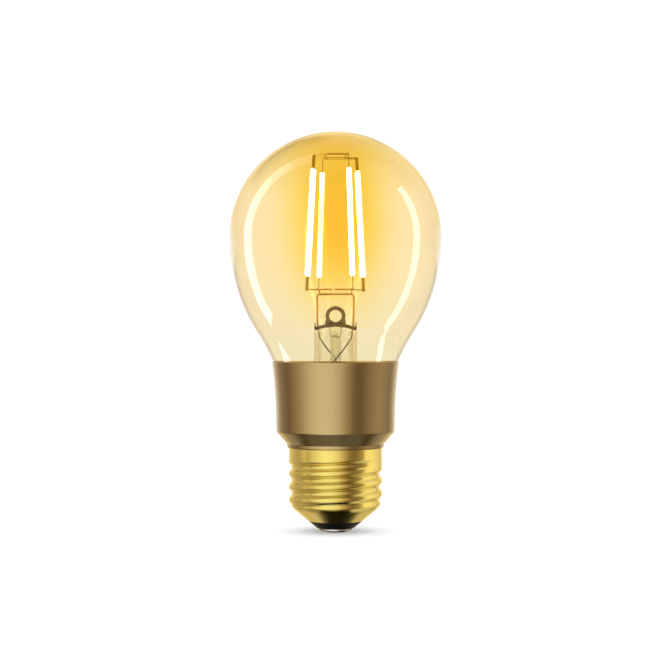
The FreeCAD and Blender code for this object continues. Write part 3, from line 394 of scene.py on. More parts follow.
class Paint(Nodes):
    """Material around a Principled shader."""

    def __init__(self, name):
        self.material = bpy.data.materials.new(name)
        self.material.use_nodes = True
        super().__init__(self.material.node_tree)
        self.shader = self.tree.nodes["Principled BSDF"]
        self.output = self.tree.nodes["Material Output"]

    def set(self, **values):
        """Constants on the shader's own sockets, named with _ for a space."""
        for key, value in values.items():
            self.shader.inputs[key.replace("_", " ")].default_value = value

    def place(self, scale=(1, 1, 1)):
        """Object coordinates, in millimetres times a scale."""
        source = self.node("TexCoord").outputs["Object"]
        mapping = self.node("Mapping", {"Scale": [s / MM for s in scale]})
        self.link(source, mapping.inputs["Vector"])
        return mapping.outputs["Vector"]

    def height(self):
        """Height above the contact, in millimetres."""
        split = self.node("SeparateXYZ")
        self.link(self.place(), split.inputs["Vector"])
        return split.outputs["Z"]

    def noise(self, scale, size=(1, 1, 1), detail=3, roughness=0.5):
        """Noise with scale waves in a millimetre, squeezed along the axes by size."""
        made = self.node("TexNoise", {
            "Scale": scale, "Detail": detail, "Roughness": roughness})
        self.link(self.place(size), made.inputs["Vector"])
        return made.outputs["Fac"]

    def bump(self, height, distance, strength):
        """Bump from a height of 0 to 1, its full height in millimetres."""
        made = self.node("Bump", {"Distance": distance * MM, "Strength": strength})
        self.link(height, made.inputs["Height"])
        self.link(made.outputs["Normal"], self.shader.inputs["Normal"])

    def outline(self, stops):
        """Tint by how far the surface turns away: 0 seen straight on, 1 at its outline."""
        facing = self.node("LayerWeight", {"Blend": 0.5})
        return self.ramp(facing.outputs["Facing"], stops)

    def absorb(self, colour, density):
        """Let the inside take light away; the density is a number or a node's output."""
        body = self.node("VolumeAbsorption", {"Color": (*colour, 1)})
        if isinstance(density, float):
            body.inputs["Density"].default_value = density
        else:
            self.link(density, body.inputs["Density"])
        self.link(body.outputs["Volume"], self.output.inputs["Volume"])

    def colour(self, source):
        self.link(source, self.shader.inputs["Base Color"])

    def rough(self, source):
        self.link(source, self.shader.inputs["Roughness"])


def shade(colour, factor):
    """Colour made darker or lighter by a factor, never above full."""
    return tuple(min(part * factor, 1) for part in colour)


# ---- materials ----

def let_light_through(paint, tint):
    """Glass as usual for what is seen, a clear tint for light on its way to a surface."""
    path = paint.node("LightPath")
    clear = paint.node("BsdfTransparent", {"Color": (*tint, 1)})
    both = paint.node("MixShader")
    paint.link(path.outputs["Is Shadow Ray"], both.inputs["Fac"])
    paint.link(paint.shader.outputs["BSDF"], both.inputs[1])
    paint.link(clear.outputs["BSDF"], both.inputs[2])
    paint.link(both.outputs["Shader"], paint.output.inputs["Surface"])


def gold_glass():
    """Clear glass with a gold film that is denser towards the crown."""
    paint = Paint("gold_glass")
    paint.set(Transmission_Weight=1.0, Roughness=0.0, IOR=1.3)
    film_low, film_high = 46, 112
    level = paint.spread(paint.height(), 0, 1, film_low, film_high)
    film = paint.ramp(level, [
        (0.0, (0.925, 0.87, 0.70)),
        (0.22, (0.955, 0.885, 0.70)),
        (0.42, (0.985, 0.89, 0.68)),
        (0.72, (0.99, 0.885, 0.66)),
        (0.88, (0.955, 0.82, 0.50)),
        (0.96, (0.92, 0.75, 0.34)),
        (1.0, (0.92, 0.70, 0.24)),
    ])
    uneven = paint.ramp(paint.noise(0.06, (1, 1, 0.5), 2), [
        (0.3, (0.985, 0.975, 0.96)), (0.7, (1, 1, 1))])
    tone = paint.mix(1.0, film, uneven, "MULTIPLY")
    edge = paint.outline([
        (0.60, (1, 1, 1)), (0.72, (0.99, 0.985, 0.96)), (0.84, (0.97, 0.95, 0.86)),
        (0.93, (0.90, 0.84, 0.64)), (1.0, (0.60, 0.48, 0.24))])
    paint.colour(paint.mix(1.0, tone, edge, "MULTIPLY"))
    paint.bump(paint.noise(0.09, (1, 1, 0.6), 1), 0.05, 0.08)
    let_light_through(paint, (0.99, 0.93, 0.78))
    return paint.material


GLOW_CENTRE, GLOW_WIDTH, GLOW_HEIGHT = 87.5, 7.5, 13.6
GLOW_DENSITY = 172.0


def amber_glow():
    """Painted glow: an amber absorbing volume around the lit filaments stands in for their glow. It
    takes blue out of what is seen through it.
    """
    paint = Paint("amber_glow")
    clear = paint.node("BsdfTransparent")
    paint.link(clear.outputs["BSDF"], paint.output.inputs["Surface"])
    paint.tree.nodes.remove(paint.shader)
    source = paint.node("TexCoord").outputs["Object"]
    shape = paint.node("Mapping", {
        "Location": (0, 0, GLOW_CENTRE * MM),
        "Scale": (GLOW_WIDTH * MM, GLOW_WIDTH * MM, GLOW_HEIGHT * MM),
    }, vector_type="TEXTURE")
    paint.link(source, shape.inputs["Vector"])
    length = paint.node("VectorMath", operation="LENGTH")
    paint.link(shape.outputs["Vector"], length.inputs["Vector"])
    away = length.outputs["Value"]
    fall = paint.math("MULTIPLY", paint.math("MULTIPLY", away, away), -0.5)
    density = paint.math("MULTIPLY", paint.math("EXPONENT", fall), GLOW_DENSITY)
    # painted glow: amber absorption, densest around the middle of the filaments
    paint.absorb((0.995, 0.86, 0.0), density)
    return paint.material


def clear_glass(name, tint, outline, rough=0.0, depth=0.0):
    """Drawn glass: faint streaks, darker outlines and, with a depth, a tint inside the wall."""
    paint = Paint(name)
    paint.set(Transmission_Weight=1.0, Roughness=rough, IOR=1.45)
    streak = paint.noise(0.5, (1, 1, 0.15), 2)
    tone = paint.ramp(streak, [(0.3, shade(tint, 0.95)), (0.7, tint)])
    wall = tuple(math.sqrt(part) for part in outline)
    edge = paint.outline([
        (0.25, (1, 1, 1)), (0.55, wall), (0.85, outline), (1.0, shade(outline, 0.35))])
    paint.colour(paint.mix(1.0, tone, edge, "MULTIPLY"))
    paint.bump(streak, 0.03, 0.3)
    if depth:
        paint.absorb((0.69, 0.53, 0.0), depth)
    let_light_through(paint, tint)
    return paint.material


def satin_metal(name, colour, rough, grain=(1, 1, 1), wear=0.06):
    """Metal with a cloudy tone, a fine grain and an uneven polish."""
    paint = Paint(name)
    paint.set(Metallic=1.0)
    cloud = paint.noise(0.22, detail=4)
    fine = paint.noise(9.0, grain, 4, 0.65)
    tone = paint.ramp(cloud, [(0.3, shade(colour, 1 - wear)), (0.7, shade(colour, 1 + wear))])
    speck = paint.ramp(fine, [(0.35, (0.94, 0.94, 0.94)), (0.65, (1, 1, 1))])
    paint.colour(paint.mix(1.0, tone, speck, "MULTIPLY"))
    paint.rough(paint.spread(fine, rough * 0.85, rough * 1.18, 0.3, 0.7))
    paint.bump(fine, 0.004, 0.5)
    return paint.material


def plastic(name, colour, rough, coat=0.0, mottle=0.12, grain=6.0, gloss=0.5):
    """Plastic, ceramic or lacquer with a faint mottle, a fine grain and, if asked, a coat."""
    paint = Paint(name)
    paint.set(Coat_Weight=coat, Coat_Roughness=0.05, Specular_IOR_Level=gloss)
    cloud = paint.noise(0.8, detail=4)
    fine = paint.noise(grain, detail=3)
    low, high = shade(colour, 1 - mottle), shade(colour, 1 + mottle)
    paint.colour(paint.ramp(cloud, [(0.3, low), (0.7, high)]))
    paint.rough(paint.spread(fine, rough * 0.85, rough * 1.15, 0.3, 0.7))
    paint.bump(fine, 0.01, 0.35)
    return paint.material


def glowing_phosphor():
    """Lit silicone with phosphor: white light with a faint cloud in it."""
    paint = Paint("phosphor")
    paint.set(Roughness=0.5, Emission_Strength=10.0)
    cloud = paint.noise(1.2, detail=2)
    paint.colour(paint.ramp(cloud, [(0.3, (1.0, 0.86, 0.55)), (0.7, (1.0, 0.90, 0.62))]))
    glow = paint.ramp(cloud, [(0.3, (0.50, 0.62, 0.96)), (0.7, (0.52, 0.64, 1.0))])
    paint.link(glow, paint.shader.inputs["Emission Color"])
    paint.bump(cloud, 0.03, 0.4)
    return paint.material


MAT = {
    "glass": gold_glass(),
    "stem": clear_glass("stem_glass", (0.975, 0.965, 0.91), (0.56, 0.42, 0.15), depth=42.0),
    "exhaust": clear_glass("exhaust_glass", (0.93, 0.91, 0.80), (0.30, 0.22, 0.07), depth=60.0),
    "press": clear_glass("press_glass", (0.19, 0.125, 0.025), (0.5, 0.45, 0.35), 0.08),
    "glow": amber_glow(),
    "collar": satin_metal("collar_bronze", (0.60, 0.455, 0.20), 0.21, (1, 1, 0.2), 0.02),
    "brass": satin_metal("shell_brass", (0.96, 0.765, 0.19), 0.17, (0.4, 0.4, 2.0), 0.03),
    "insulator": plastic("insulator_black", (0.006, 0.0055, 0.005), 0.35, gloss=0.05),
    "contact": satin_metal("contact_metal", (0.8388, 0.8070, 0.7605), 0.2, (1, 1, 1), 0.08),
    "post": satin_metal("electrode_metal", (0.62, 0.34, 0.045), 0.30),
    "tab": satin_metal("tab_metal", (0.46, 0.30, 0.035), 0.3),
    "lead": satin_metal("lead_copper", (0.17, 0.10, 0.016), 0.4),
    "phosphor": glowing_phosphor(),
}


# ---- glass envelope ----

CROWN_Z = GLASS_TOP - GLASS_R
BELLY, BELLY_TURN = 48.1, 33.1
SHOULDER, RIM_TURN = 53.4, 23.3
THROAT = 25.9


def glass_skin(offset, count):
    """Profile of the envelope from the crown down, moved inward by an offset."""
    def turned(r, z, radius, first, last, side, steps):
        """Arc that starts at slope first and ends at slope last, in degrees from vertical."""
        points = []
        for i in range(1, steps + 1):
            a, b = math.radians(first), math.radians(first + (last - first) * i / steps)
            points.append((
                r - side * radius * (math.cos(a) - math.cos(b)),
                z - side * radius * (math.sin(b) - math.sin(a)),
            ))
        return points
    crown = arc(0, CROWN_Z, GLASS_R - offset, 90, 0, count)
    crown[0] = (0, GLASS_TOP - offset)
    belly = turned(*crown[-1], BELLY - offset, 0, BELLY_TURN, 1, count)
    shoulder = turned(*belly[-1], SHOULDER + offset, BELLY_TURN, RIM_TURN, -1, count // 2)
    throat = turned(*shoulder[-1], THROAT + offset, RIM_TURN, 0, -1, count // 2)
    return crown + belly + shoulder + throat


def make_glass():
    """Envelope with an even wall and a rounded lower edge."""
    wall, count = 0.8, 48
    outer, inner = glass_skin(0, count), glass_skin(wall, count)
    for skin in (outer, inner):
        skin.append((skin[-1][0], GLASS_END + 0.2))
    middle = (outer[-1][0] + inner[-1][0]) / 2
    lip = arc(middle, GLASS_END + wall / 2, wall / 2, 0, -180, 8)
    profile = outer + lip + inner[::-1]
    finish_piece(lathe("glass_bulb", profile, 240), MAT["glass"], "gold_glass", "glass_envelope")


def make_glow():
    """Gas space of the bulb, which holds the painted glow around the filaments."""
    inset, floor = 1.1, 57
    skin = [point for point in glass_skin(inset, 32) if point[1] > floor] + [(0, floor)]
    piece = lathe("gas_glow", skin, 96)
    finish_piece(piece, MAT["glow"], "gold_glass")


# ---- stem ----

def make_stem():
    """Flared glass tube; its top edge rises in an arch across the press."""
    top, radius, wall = STEM_TOP, 6.0, 1.07
    flare, flare_top, arch_start, arch_rise = 9.6, 43, 53.5, 1.15
    foot, low = span("stem_tube")[1].x, span("stem_tube")[0].z
    inside = radius - wall
    outer = arc_through((foot - 0.8, low + 1.1), (radius, flare_top), flare, -1, 24)
    inner = arc_through((inside, flare_top - 0.4), (foot - 1.3, low), flare + wall, 1, 24)
    rise = [(radius, arch_start + i * (top - wall / 2 - arch_start) / 8) for i in range(8)]
    fall = [(inside, z) for _, z in rise[::-1]]
    rim = arc(radius - wall / 2, top - wall / 2, wall / 2, 0, 180, 10)
    profile = [(foot, low), (foot, low + 0.8)] + outer + rise + rim + fall + inner
    piece = lathe("stem_cane", profile, 96, loop=True)
    for vertex in piece.data.vertices:
        share = min(max((vertex.co.z / MM - arch_start) / (top - arch_start), 0), 1)
        arch = max(1 - (vertex.co.x / MM / 5.9) ** 2, 0)
        vertex.co.z += arch_rise * MM * arch * share * share * (3 - 2 * share)
    finish_piece(piece, MAT["stem"], "stem_glass", "stem_tube")


def make_exhaust():
    """Hollow tube that hangs from the press, widened to a boss at its top."""
    top, tip = span("exhaust_tube")[1].z, span("exhaust_tube")[0].z
    r, bore, boss = 1.45, 0.85, 2.0
    outer = arc(0, tip + r, r, -90, 0, 10)
    outer[0] = (0, tip)
    shoulder = [(r, top - 1.9), (r + 0.08, top - 1.4), (boss - 0.28, top - 1.0),
                (boss - 0.16, top - 0.6), (boss - 0.25, top + 0.2), (r + 0.1, top + 0.6)]
    inner = arc(0, top - 1.2 - bore, bore, 90, 0, 10)
    inner[0] = (0, top - 1.2)
    bottom = arc(0, tip + 2 * r, bore, 0, -90, 8)
    bottom[-1] = (0, tip + 2 * r - bore)
    profile = outer + shoulder + [(r, top + 1.1), (0, top + 1.1)]
    solid = lathe("exhaust_outer", profile, 48)
    hollow = lathe("exhaust_inner", inner + bottom, 48)
    hollow.data.flip_normals()
    piece = join([solid, hollow], "exhaust_cane")
    finish_piece(piece, MAT["exhaust"], "stem_glass", "exhaust_tube")


def join(things, name):
    """Join mesh objects that share one material into one piece."""
    shape = bmesh.new()
    for thing in things:
        shape.from_mesh(thing.data)
    target = things[0]
    shape.to_mesh(target.data)
    shape.free()
    for extra in things[1:]:
        bpy.data.objects.remove(extra)
    target.name = name
    return target


def make_press():
    """Arched glass bridge, tall corners of the squeezed tube, and the eye, melted into one."""
    rows, sides, half = 40, 20, 5.75
    vertices = []
    for i in range(rows + 1):
        x = -half + 2 * half * i / rows
        share = 1 - (x / half) ** 2
        top = STEM_TOP + 0.75 + 1.35 * share
        low = STEM_TOP - 0.15 + 0.65 * share
        deep = 0.45 + 1.65 * math.sqrt(max(share, 0))
        for t in full_turn(sides):
            z = (top + low) / 2 + (top - low) / 2 * math.sin(t)
            vertices.append((x, deep * math.cos(t), z))
    parts = [(vertices, tube_faces(rows + 1, sides))]
    centre, wide, high = EYE_TOP - 2.72, 2.28, 2.22
    eye = [(wide * math.cos(t), 0, centre + high * math.sin(t)) for t in full_turn(64)]
    parts.append(wire_mesh(eye, 0.56, 16, closed=True))
    for side in (-1, 1):
        parts.append(bead((side * 2.35, 0, centre - 1.75), 0.8, (0.75, 0.95, 1.0), 2))
        horn = [(side * 5.72, 0, STEM_TOP + 0.3 + 2.0 * k / 8) for k in range(9)]
        parts.append(wire_mesh(horn, 0.30, 12, taper=lambda t: 1 - 0.62 * t))
    parts.append(bead((0, 0, centre - 2.35), 1.0, (2.2, 0.85, 0.45), 3))
    piece = new_object("stem_bridge", *merge(parts), sharp=0)
    melt = piece.modifiers.new("melt", "REMESH")
    melt.mode = "VOXEL"
    melt.voxel_size = 0.11 * MM
    melt.use_smooth_shade = True
    ease = piece.modifiers.new("ease", "SMOOTH")
    ease.factor = 0.5
    ease.iterations = 6
    bake_modifiers(piece)
    finish_piece(piece, MAT["press"], "stem_glass", "stem_press")


def bake_modifiers(piece):
    """Replace a piece's mesh with what its modifiers make of it."""
    view = bpy.context.evaluated_depsgraph_get()
    made = bpy.data.meshes.new_from_object(piece.evaluated_get(view))
    piece.modifiers.clear()
    piece.data = made


# ---- wires inside the glass ----

def make_leads():
    """Lead wires: from the press, past the exhaust tube, down to the board."""
    board = span("lead_wire_left")[0].z
    for name, side in (("left", -1), ("right", 1)):
        way = [
            (4.72, 0, STEM_TOP + 0.3), (4.66, 0.02, STEM_TOP - 1.4), (3.9, 0.35, STEM_TOP - 2.9),
            (2.5, 0.95, STEM_TOP - 4.9), (0.9, 1.55, STEM_TOP - 7.0), (-0.6, 2.15, STEM_TOP - 8.9),
            (-1.8, 2.6, STEM_TOP - 11.5), (-2.25, 2.8, STEM_TOP - 15), (-2.3, 2.83, board),
        ]
        path = smooth_path([(side * x, -side * y, z) for x, y, z in way], 8)
        piece = new_object(f"lead_{name}_wire", *wire_mesh(path, 0.2, 12))
        finish_piece(piece, MAT["lead"], "lead_copper", f"lead_wire_{name}")


def make_electrodes():
    """L-shaped electrodes with crossbars, risers and welds."""
    half, foot, reach, splay = 5.0, STEM_TOP + 0.3, 9.7, math.radians(8.3)
    post_radius, bar_radius, riser_radius = 0.28, 0.22, 0.15
    for name, side in (("left", -1), ("right", 1)):
        end = (side * half - side * reach * math.cos(splay), side * reach * math.sin(splay), POST_TOP)
        path = bend([(side * half, 0, foot), (side * half, 0, POST_TOP), end], 0.85)
        wire = wire_mesh(path, post_radius, 16, taper=lambda t: 1 if t < 0.4 else 0.82)
        post = new_object(f"electrode_{name}_wire", *wire)
        finish_piece(post, MAT["post"], "wire_metal", f"electrode_{name}")
        low, high = span(f"crossbar_{name}")
        bar = wire_mesh([(low.x + 0.12, 0, BAR_Z), ((low.x + high.x) / 2, 0, BAR_Z + 0.02),
                         (high.x - 0.12, 0, BAR_Z)], bar_radius, 16)
        riser_x = side * 4.5
        riser = wire_mesh([(riser_x, 0, POST_TOP), (riser_x, 0, BAR_Z)], riser_radius, 12)
        weld = bead((riser_x, 0, BAR_Z - 0.05), 0.3, (1.3, 1.0, 0.9))
        blob = bead((riser_x, 0, POST_TOP + 0.12), 0.26, (1.2, 1.0, 0.8))
        piece = new_object(f"crossbar_{name}_bar", *merge([bar, riser, weld, blob]))
        finish_piece(piece, MAT["post"], "wire_metal", f"crossbar_{name}")


def filament_axis(index):
    """Lower and upper end of the straight line filament 0 to 3 stands on."""
    lower_r, upper_r, first = 9.3, 6.95, 180 + 31
    bearing = math.radians(first + 90 * index)
    out = Vector((math.cos(bearing), math.sin(bearing), 0))
    low = span(f"lower_tab_{index + 1}")[0].z + 0.02
    high = span(f"upper_tab_{index + 1}")[1].z - 0.02
    return out * lower_r + Vector((0, 0, low)), out * upper_r + Vector((0, 0, high))


def make_arms():
    """Thin arms from the crossbars and from the top loop to the filament tabs."""
    for index in range(4):
        foot, head = filament_axis(index)
        side = -1 if index in (0, 3) else 1
        front = -1 if index in (0, 1) else 1
        root = Vector((side * 5.05, 0, BAR_Z))
        tip = foot + (head - foot) * ((BAR_Z - foot.z) / (head.z - foot.z))
        inward = (root - tip).normalized()
        middle = (root + tip) / 2 + Vector((0, 0, -0.12))
        rod = wire_mesh(smooth_path([root, middle, tip + inward * 0.12], 6), 0.18, 12)
        weld = bead(root, 0.3, (0.8, 0.9, 0.9))
        spot = bead(tip + inward * 0.16, 0.24, (1.0, 1.0, 1.1))
        piece = new_object(f"lower_arm_{index + 1}_wire", *merge([rod, weld, spot]))
        finish_piece(piece, MAT["tab"], "wire_metal", f"lower_arm_{index + 1}")
        corner = Vector((side * 1.7, front * 5.6, BRIDGE_Z))
        tip = foot + (head - foot) * ((BRIDGE_Z - foot.z) / (head.z - foot.z))
        inward = (corner - tip).normalized()
        rod = wire_mesh([corner, (corner + tip) / 2, tip + inward * 0.12], 0.17, 12)
        spot = bead(tip + inward * 0.14, 0.22)
        piece = new_object(f"upper_arm_{index + 1}_wire", *merge([rod, spot]))
        finish_piece(piece, MAT["tab"], "wire_metal", f"upper_arm_{index + 1}")


def make_bridge():
    """Closed six-sided loop that joins the filament tops."""
    wide, side, deep = 2.0, 2.5, 5.6
    corners = [(0, -deep), (wide, -deep), (side, 0), (wide, deep), (-wide, deep), (-side, 0),
               (-wide, -deep), (-0.01, -deep)]
    path = bend([(x, y, BRIDGE_Z) for x, y in corners], 0.6, 6)
    loop = wire_mesh(path[:-1], 0.2, 14, closed=True)
    weld = bead((0.3, -deep, BRIDGE_Z), 0.3, (1.9, 0.9, 0.9))
    piece = new_object("top_loop_wire", *merge([loop, weld]))
    finish_piece(piece, MAT["tab"], "wire_metal", "top_bridge")


# ---- LED filaments ----

def along(index, across, deep, up):
    """Point in the filament's own frame, put on its tilted line."""
    foot, head = filament_axis(index)
    axis = (head - foot).normalized()
    turn = Matrix.Rotation(math.radians(90 * index), 3, "Z")
    tilt = Vector((0, 0, 1)).rotation_difference(axis).to_matrix()
    return foot + tilt @ (turn @ Vector((across, deep, up)))


def make_filament(index):
    """Lit body with rounded corners, domed ends and a faint ripple, and its two tabs."""
    foot, head = filament_axis(index)
    start, lit, dome = 4.1, 29.8, 0.6
    wide, deep, corner = 0.75, 0.675, 0.7
    ripple, ripple_pitch = 0.012, 1.04
    rows, sides = 60, 24
    vertices = []
    for i in range(rows + 1):
        up = start + lit * i / rows
        end = min(i, rows - i) / rows * lit
        size = 1 if end > dome else 0.72 + 0.28 * math.sqrt(1 - (1 - end / dome) ** 2)
        size *= 1 + ripple * math.cos(2 * math.pi * up / ripple_pitch)
        for t in full_turn(sides):
            c, s = math.cos(t), math.sin(t)
            x = wide * size * math.copysign(abs(c) ** corner, c)
            y = deep * size * math.copysign(abs(s) ** corner, s)
            vertices.append(along(index, x, y, up))
    number = index + 1
    body = new_object(f"filament_{number}_lit", vertices, tube_faces(rows + 1, sides), 60)
    body.visible_glossy = False
    finish_piece(body, MAT["phosphor"], "phosphor", f"led_filament_{number}")
    sunk, length = 0.4, (head - foot).length
    for name, low, high in (("lower", 0, start + sunk), ("upper", start + lit - sunk, length)):
        tab = make_tab(index, low, high, name == "lower")
        piece = new_object(f"tab_{name}_{number}_strip", *tab, sharp=30)
        finish_piece(piece, MAT["tab"], "wire_metal", f"{name}_tab_{number}")


def make_tab(index, low, high, foot):
    """Flat stamped tab with bevelled edges, a little narrower at its free end."""
    rows, wide, thick, rounding = 24, 0.425, 0.1, 0.12
    section = [(-1, -0.6), (-0.9, -1), (0.9, -1), (1, -0.6),
               (1, 0.6), (0.9, 1), (-0.9, 1), (-1, 0.6)]
    vertices = []
    for i in range(rows + 1):
        up = low + (high - low) * i / rows
        free = up - low if foot else high - up
        half = wide * (1 - rounding + free) if free < rounding else wide
        for a, b in section:
            vertices.append(along(index, a * half, b * thick, up))
    return vertices, tube_faces(rows + 1, len(section))


# ---- collar and base ----

def make_collar():
    """Housing from the sleeve in the screw shell, over the chamfer, to the flared rim."""
    low = span("collar_housing")[0].z
    sleeve, lip, lip_high, waist, chamfer_top, flare_start = 11.9, 13.6, 1.0, 16.62, 27.9, 30.0
    pocket, step, bore = 16.0, 12.4, 10.5
    pocket_low, step_low = 28.6, 25.4
    outer = [(sleeve, low), (sleeve, SHELL_TOP), (lip, SHELL_TOP), (lip, SHELL_TOP + lip_high),
             (waist - 0.07, chamfer_top), (waist, flare_start)]
    outer = soften(outer, {2: 0.2, 3: 0.25, 4: 0.45})
    flare = arc_through((waist, flare_start), (COLLAR_R, COLLAR_TOP - 0.2), 146, -1, 24)
    rim = arc(COLLAR_R - 0.1, COLLAR_TOP - 0.1, 0.1, 0, 180, 8)
    inner = [(COLLAR_R - 0.22, COLLAR_TOP - 0.2), (pocket, 41.5), (pocket, pocket_low),
             (step, pocket_low), (step, step_low), (bore, step_low), (bore, low)]
    profile = outer[:-1] + flare[:-1] + rim + inner
    piece = lathe("collar_sleeve", profile, 240, loop=True, sharp=35)
    finish_piece(piece, MAT["collar"], "collar_bronze", "collar_housing")


THREAD_PITCH, THREAD_ROUND, THREAD_DEPTH = 3.63, 1.19, 0.84
THREAD_START, THREAD_TURNS = 5.24, 3.876


def groove_depth(angle, z):
    """Depth of the rolled thread below the crest at an angle and a height."""
    turn = (z - THREAD_START) / THREAD_PITCH - angle / (2 * math.pi)
    nearest = round(turn)
    offset = abs(turn - nearest) * THREAD_PITCH
    along_helix = nearest + angle / (2 * math.pi)
    fade = min(max((THREAD_TURNS + 0.06 - along_helix) / 0.14, 0), 1)
    fade = fade * fade * (3 - 2 * fade)
    quarter = THREAD_PITCH / 4
    if offset < quarter:
        drop = THREAD_DEPTH - THREAD_ROUND + math.sqrt(THREAD_ROUND ** 2 - offset ** 2)
    else:
        rest = 2 * quarter - offset
        drop = THREAD_ROUND - math.sqrt(THREAD_ROUND ** 2 - rest ** 2)
    return drop * fade


def make_shell():
    """Brass cap: cone, shoulder, rolled thread with soft crests, plain bore."""
    steps, fine, bore = 300, 108, 12.06
    cone_r, cone_top_r, cone_top, shoulder_top = 7.8, 11.4, 6.0, 9.84
    thread_low, thread_high, soft = 6.2, SHELL_TOP - 0.3, 0.12
    base = [(cone_r - 0.06, SHELL_LOW + 0.08)]
    base += [(cone_r + (cone_top_r - cone_r) * i / 10,
              SHELL_LOW + (cone_top - SHELL_LOW) * i / 10) for i in range(10)]
    base += arc_through((cone_top_r, cone_top), (SHELL_R, shoulder_top), 5.0, 1, 26)
    base += [(SHELL_R, shoulder_top + (SHELL_TOP - 0.15 - shoulder_top) * i / fine)
             for i in range(1, fine + 1)]
    base += [(SHELL_R - 0.05, SHELL_TOP - 0.04), (SHELL_R - 0.16, SHELL_TOP)]
    inside = [(bore, SHELL_TOP), (bore, 7.6), (cone_top_r - 0.26, cone_top + 0.3),
              (cone_r - 0.26, SHELL_LOW + 0.3)]
    vertices = []
    for r, z in base:
        for t in full_turn(steps):
            size = r
            if thread_low < z < thread_high:
                cut = SHELL_R - groove_depth(t, z)
                gap = r - cut
                if gap > soft:
                    size = cut
                elif gap > -soft:
                    size = r - (gap + soft) ** 2 / (4 * soft)
            vertices.append((size * math.cos(t), size * math.sin(t), z))
    for r, z in inside:
        vertices += circle(r, z, steps)
    faces = tube_faces(len(base) + len(inside), steps, closed=True)
    piece = new_object("screw_cap", vertices, faces, 50)
    finish_piece(piece, MAT["brass"], "shell_brass", "screw_shell")


def make_insulator():
    """Black ring between the shell's cone and the contact."""
    top = span("base_insulator")[1].z
    profile = soften([
        (1.15, RING_LOW), (4.95, RING_LOW), (5.25, 1.02), (6.4, 1.95),
        (7.76, SHELL_LOW + 0.02), (7.5, SHELL_LOW + 0.33), (9.6, 5.0), (9.6, top),
        (1.15, top),
    ], {2: 0.3})
    piece = lathe("base_glass_ring", profile, 160, loop=True)
    finish_piece(piece, MAT["insulator"], "insulator_black", "base_insulator")


def make_contact():
    """Contact button with a softened rim and a rivet through the insulator."""
    top = span("centre_contact")[1].z
    face = soften([
        (0, 0), (4.4, 0), (CONTACT_R, 0.5), (CONTACT_R, RING_LOW - 0.02),
        (CONTACT_R - 0.1, RING_LOW), (1.1, RING_LOW), (1.1, top - 0.6),
        (1.9, top - 0.6), (1.9, top - 0.25), (1.5, top), (0, top),
    ], {1: 0.6, 2: 0.3})
    piece = lathe("contact_button", face, 160)
    finish_piece(piece, MAT["contact"], "contact_metal", "centre_contact")


# ---- pieces kept from the frame ----

def dress_frame():
    """Procedural materials for the CAD nodes that stay as they are."""
    plastics = {
        "cement": ((0.72, 0.69, 0.62), 0.85, 0, 0.15, 3.0),
        "ceramic": ((0.82, 0.82, 0.80), 0.5, 0, 0.05),
        "chip_blue": ((0.16, 0.20, 0.38), 0.15, 0.6),
        "board_white": ((0.78, 0.80, 0.77), 0.4, 0.2, 0.05),
        "board_green": ((0.02, 0.14, 0.06), 0.3, 0.4),
        "chip_black": ((0.02, 0.02, 0.022), 0.55, 0, 0.2),
        "sleeve_black": ((0.02, 0.02, 0.03), 0.25, 0.3),
        "ferrite": ((0.05, 0.05, 0.055), 0.6, 0, 0.2),
        "film_yellow": ((0.62, 0.40, 0.05), 0.3, 0.3),
        "resistor_body": ((0.30, 0.42, 0.36), 0.4, 0.2),
        "wire_red": ((0.42, 0.02, 0.02), 0.4, 0.1),
        "wire_blue": ((0.03, 0.07, 0.32), 0.4, 0.1),
    }
    metals = {
        "tin_can": ((0.62, 0.63, 0.64), 0.3, (1, 0.1, 1)),
        "gold_trace": ((0.85, 0.62, 0.25), 0.25),
        "enamel_copper": ((0.55, 0.20, 0.08), 0.3, (0.3, 0.3, 3)),
    }
    looks = {name: plastic(name, *look) for name, look in plastics.items()}
    looks.update({name: satin_metal(name, *look) for name, look in metals.items()})
    looks["wire_metal"] = MAT["tab"]
    slots = {part["node"]: part["material_slot"] for part in frame["record"]["subparts"]}
    for name, thing in frame["nodes"].items():
        look = looks.get(slots[name])
        if look:
            give_material(thing, look)


# ---- scene ----

def make_floor():
    """White floor; its faint light keeps the far edge as bright as the world behind it."""
    half = 3.0 / MM
    corners = [(-half, -half, 0), (half, -half, 0), (half, half, 0), (-half, half, 0)]
    piece = new_object("studio_floor", corners, [[0, 1, 2, 3]], 0)
    paint = Paint("floor_paint")
    paint.set(Roughness=0.9, Specular_IOR_Level=0.1, Emission_Strength=0.07)
    paint.shader.inputs["Emission Color"].default_value = (1, 1, 1, 1)
    grain = paint.noise(0.02, detail=2)
    paint.colour(paint.ramp(grain, [(0.3, (0.93, 0.93, 0.93)), (0.7, (0.95, 0.95, 0.95))]))
    give_material(piece, paint.material)
    piece.visible_glossy = False


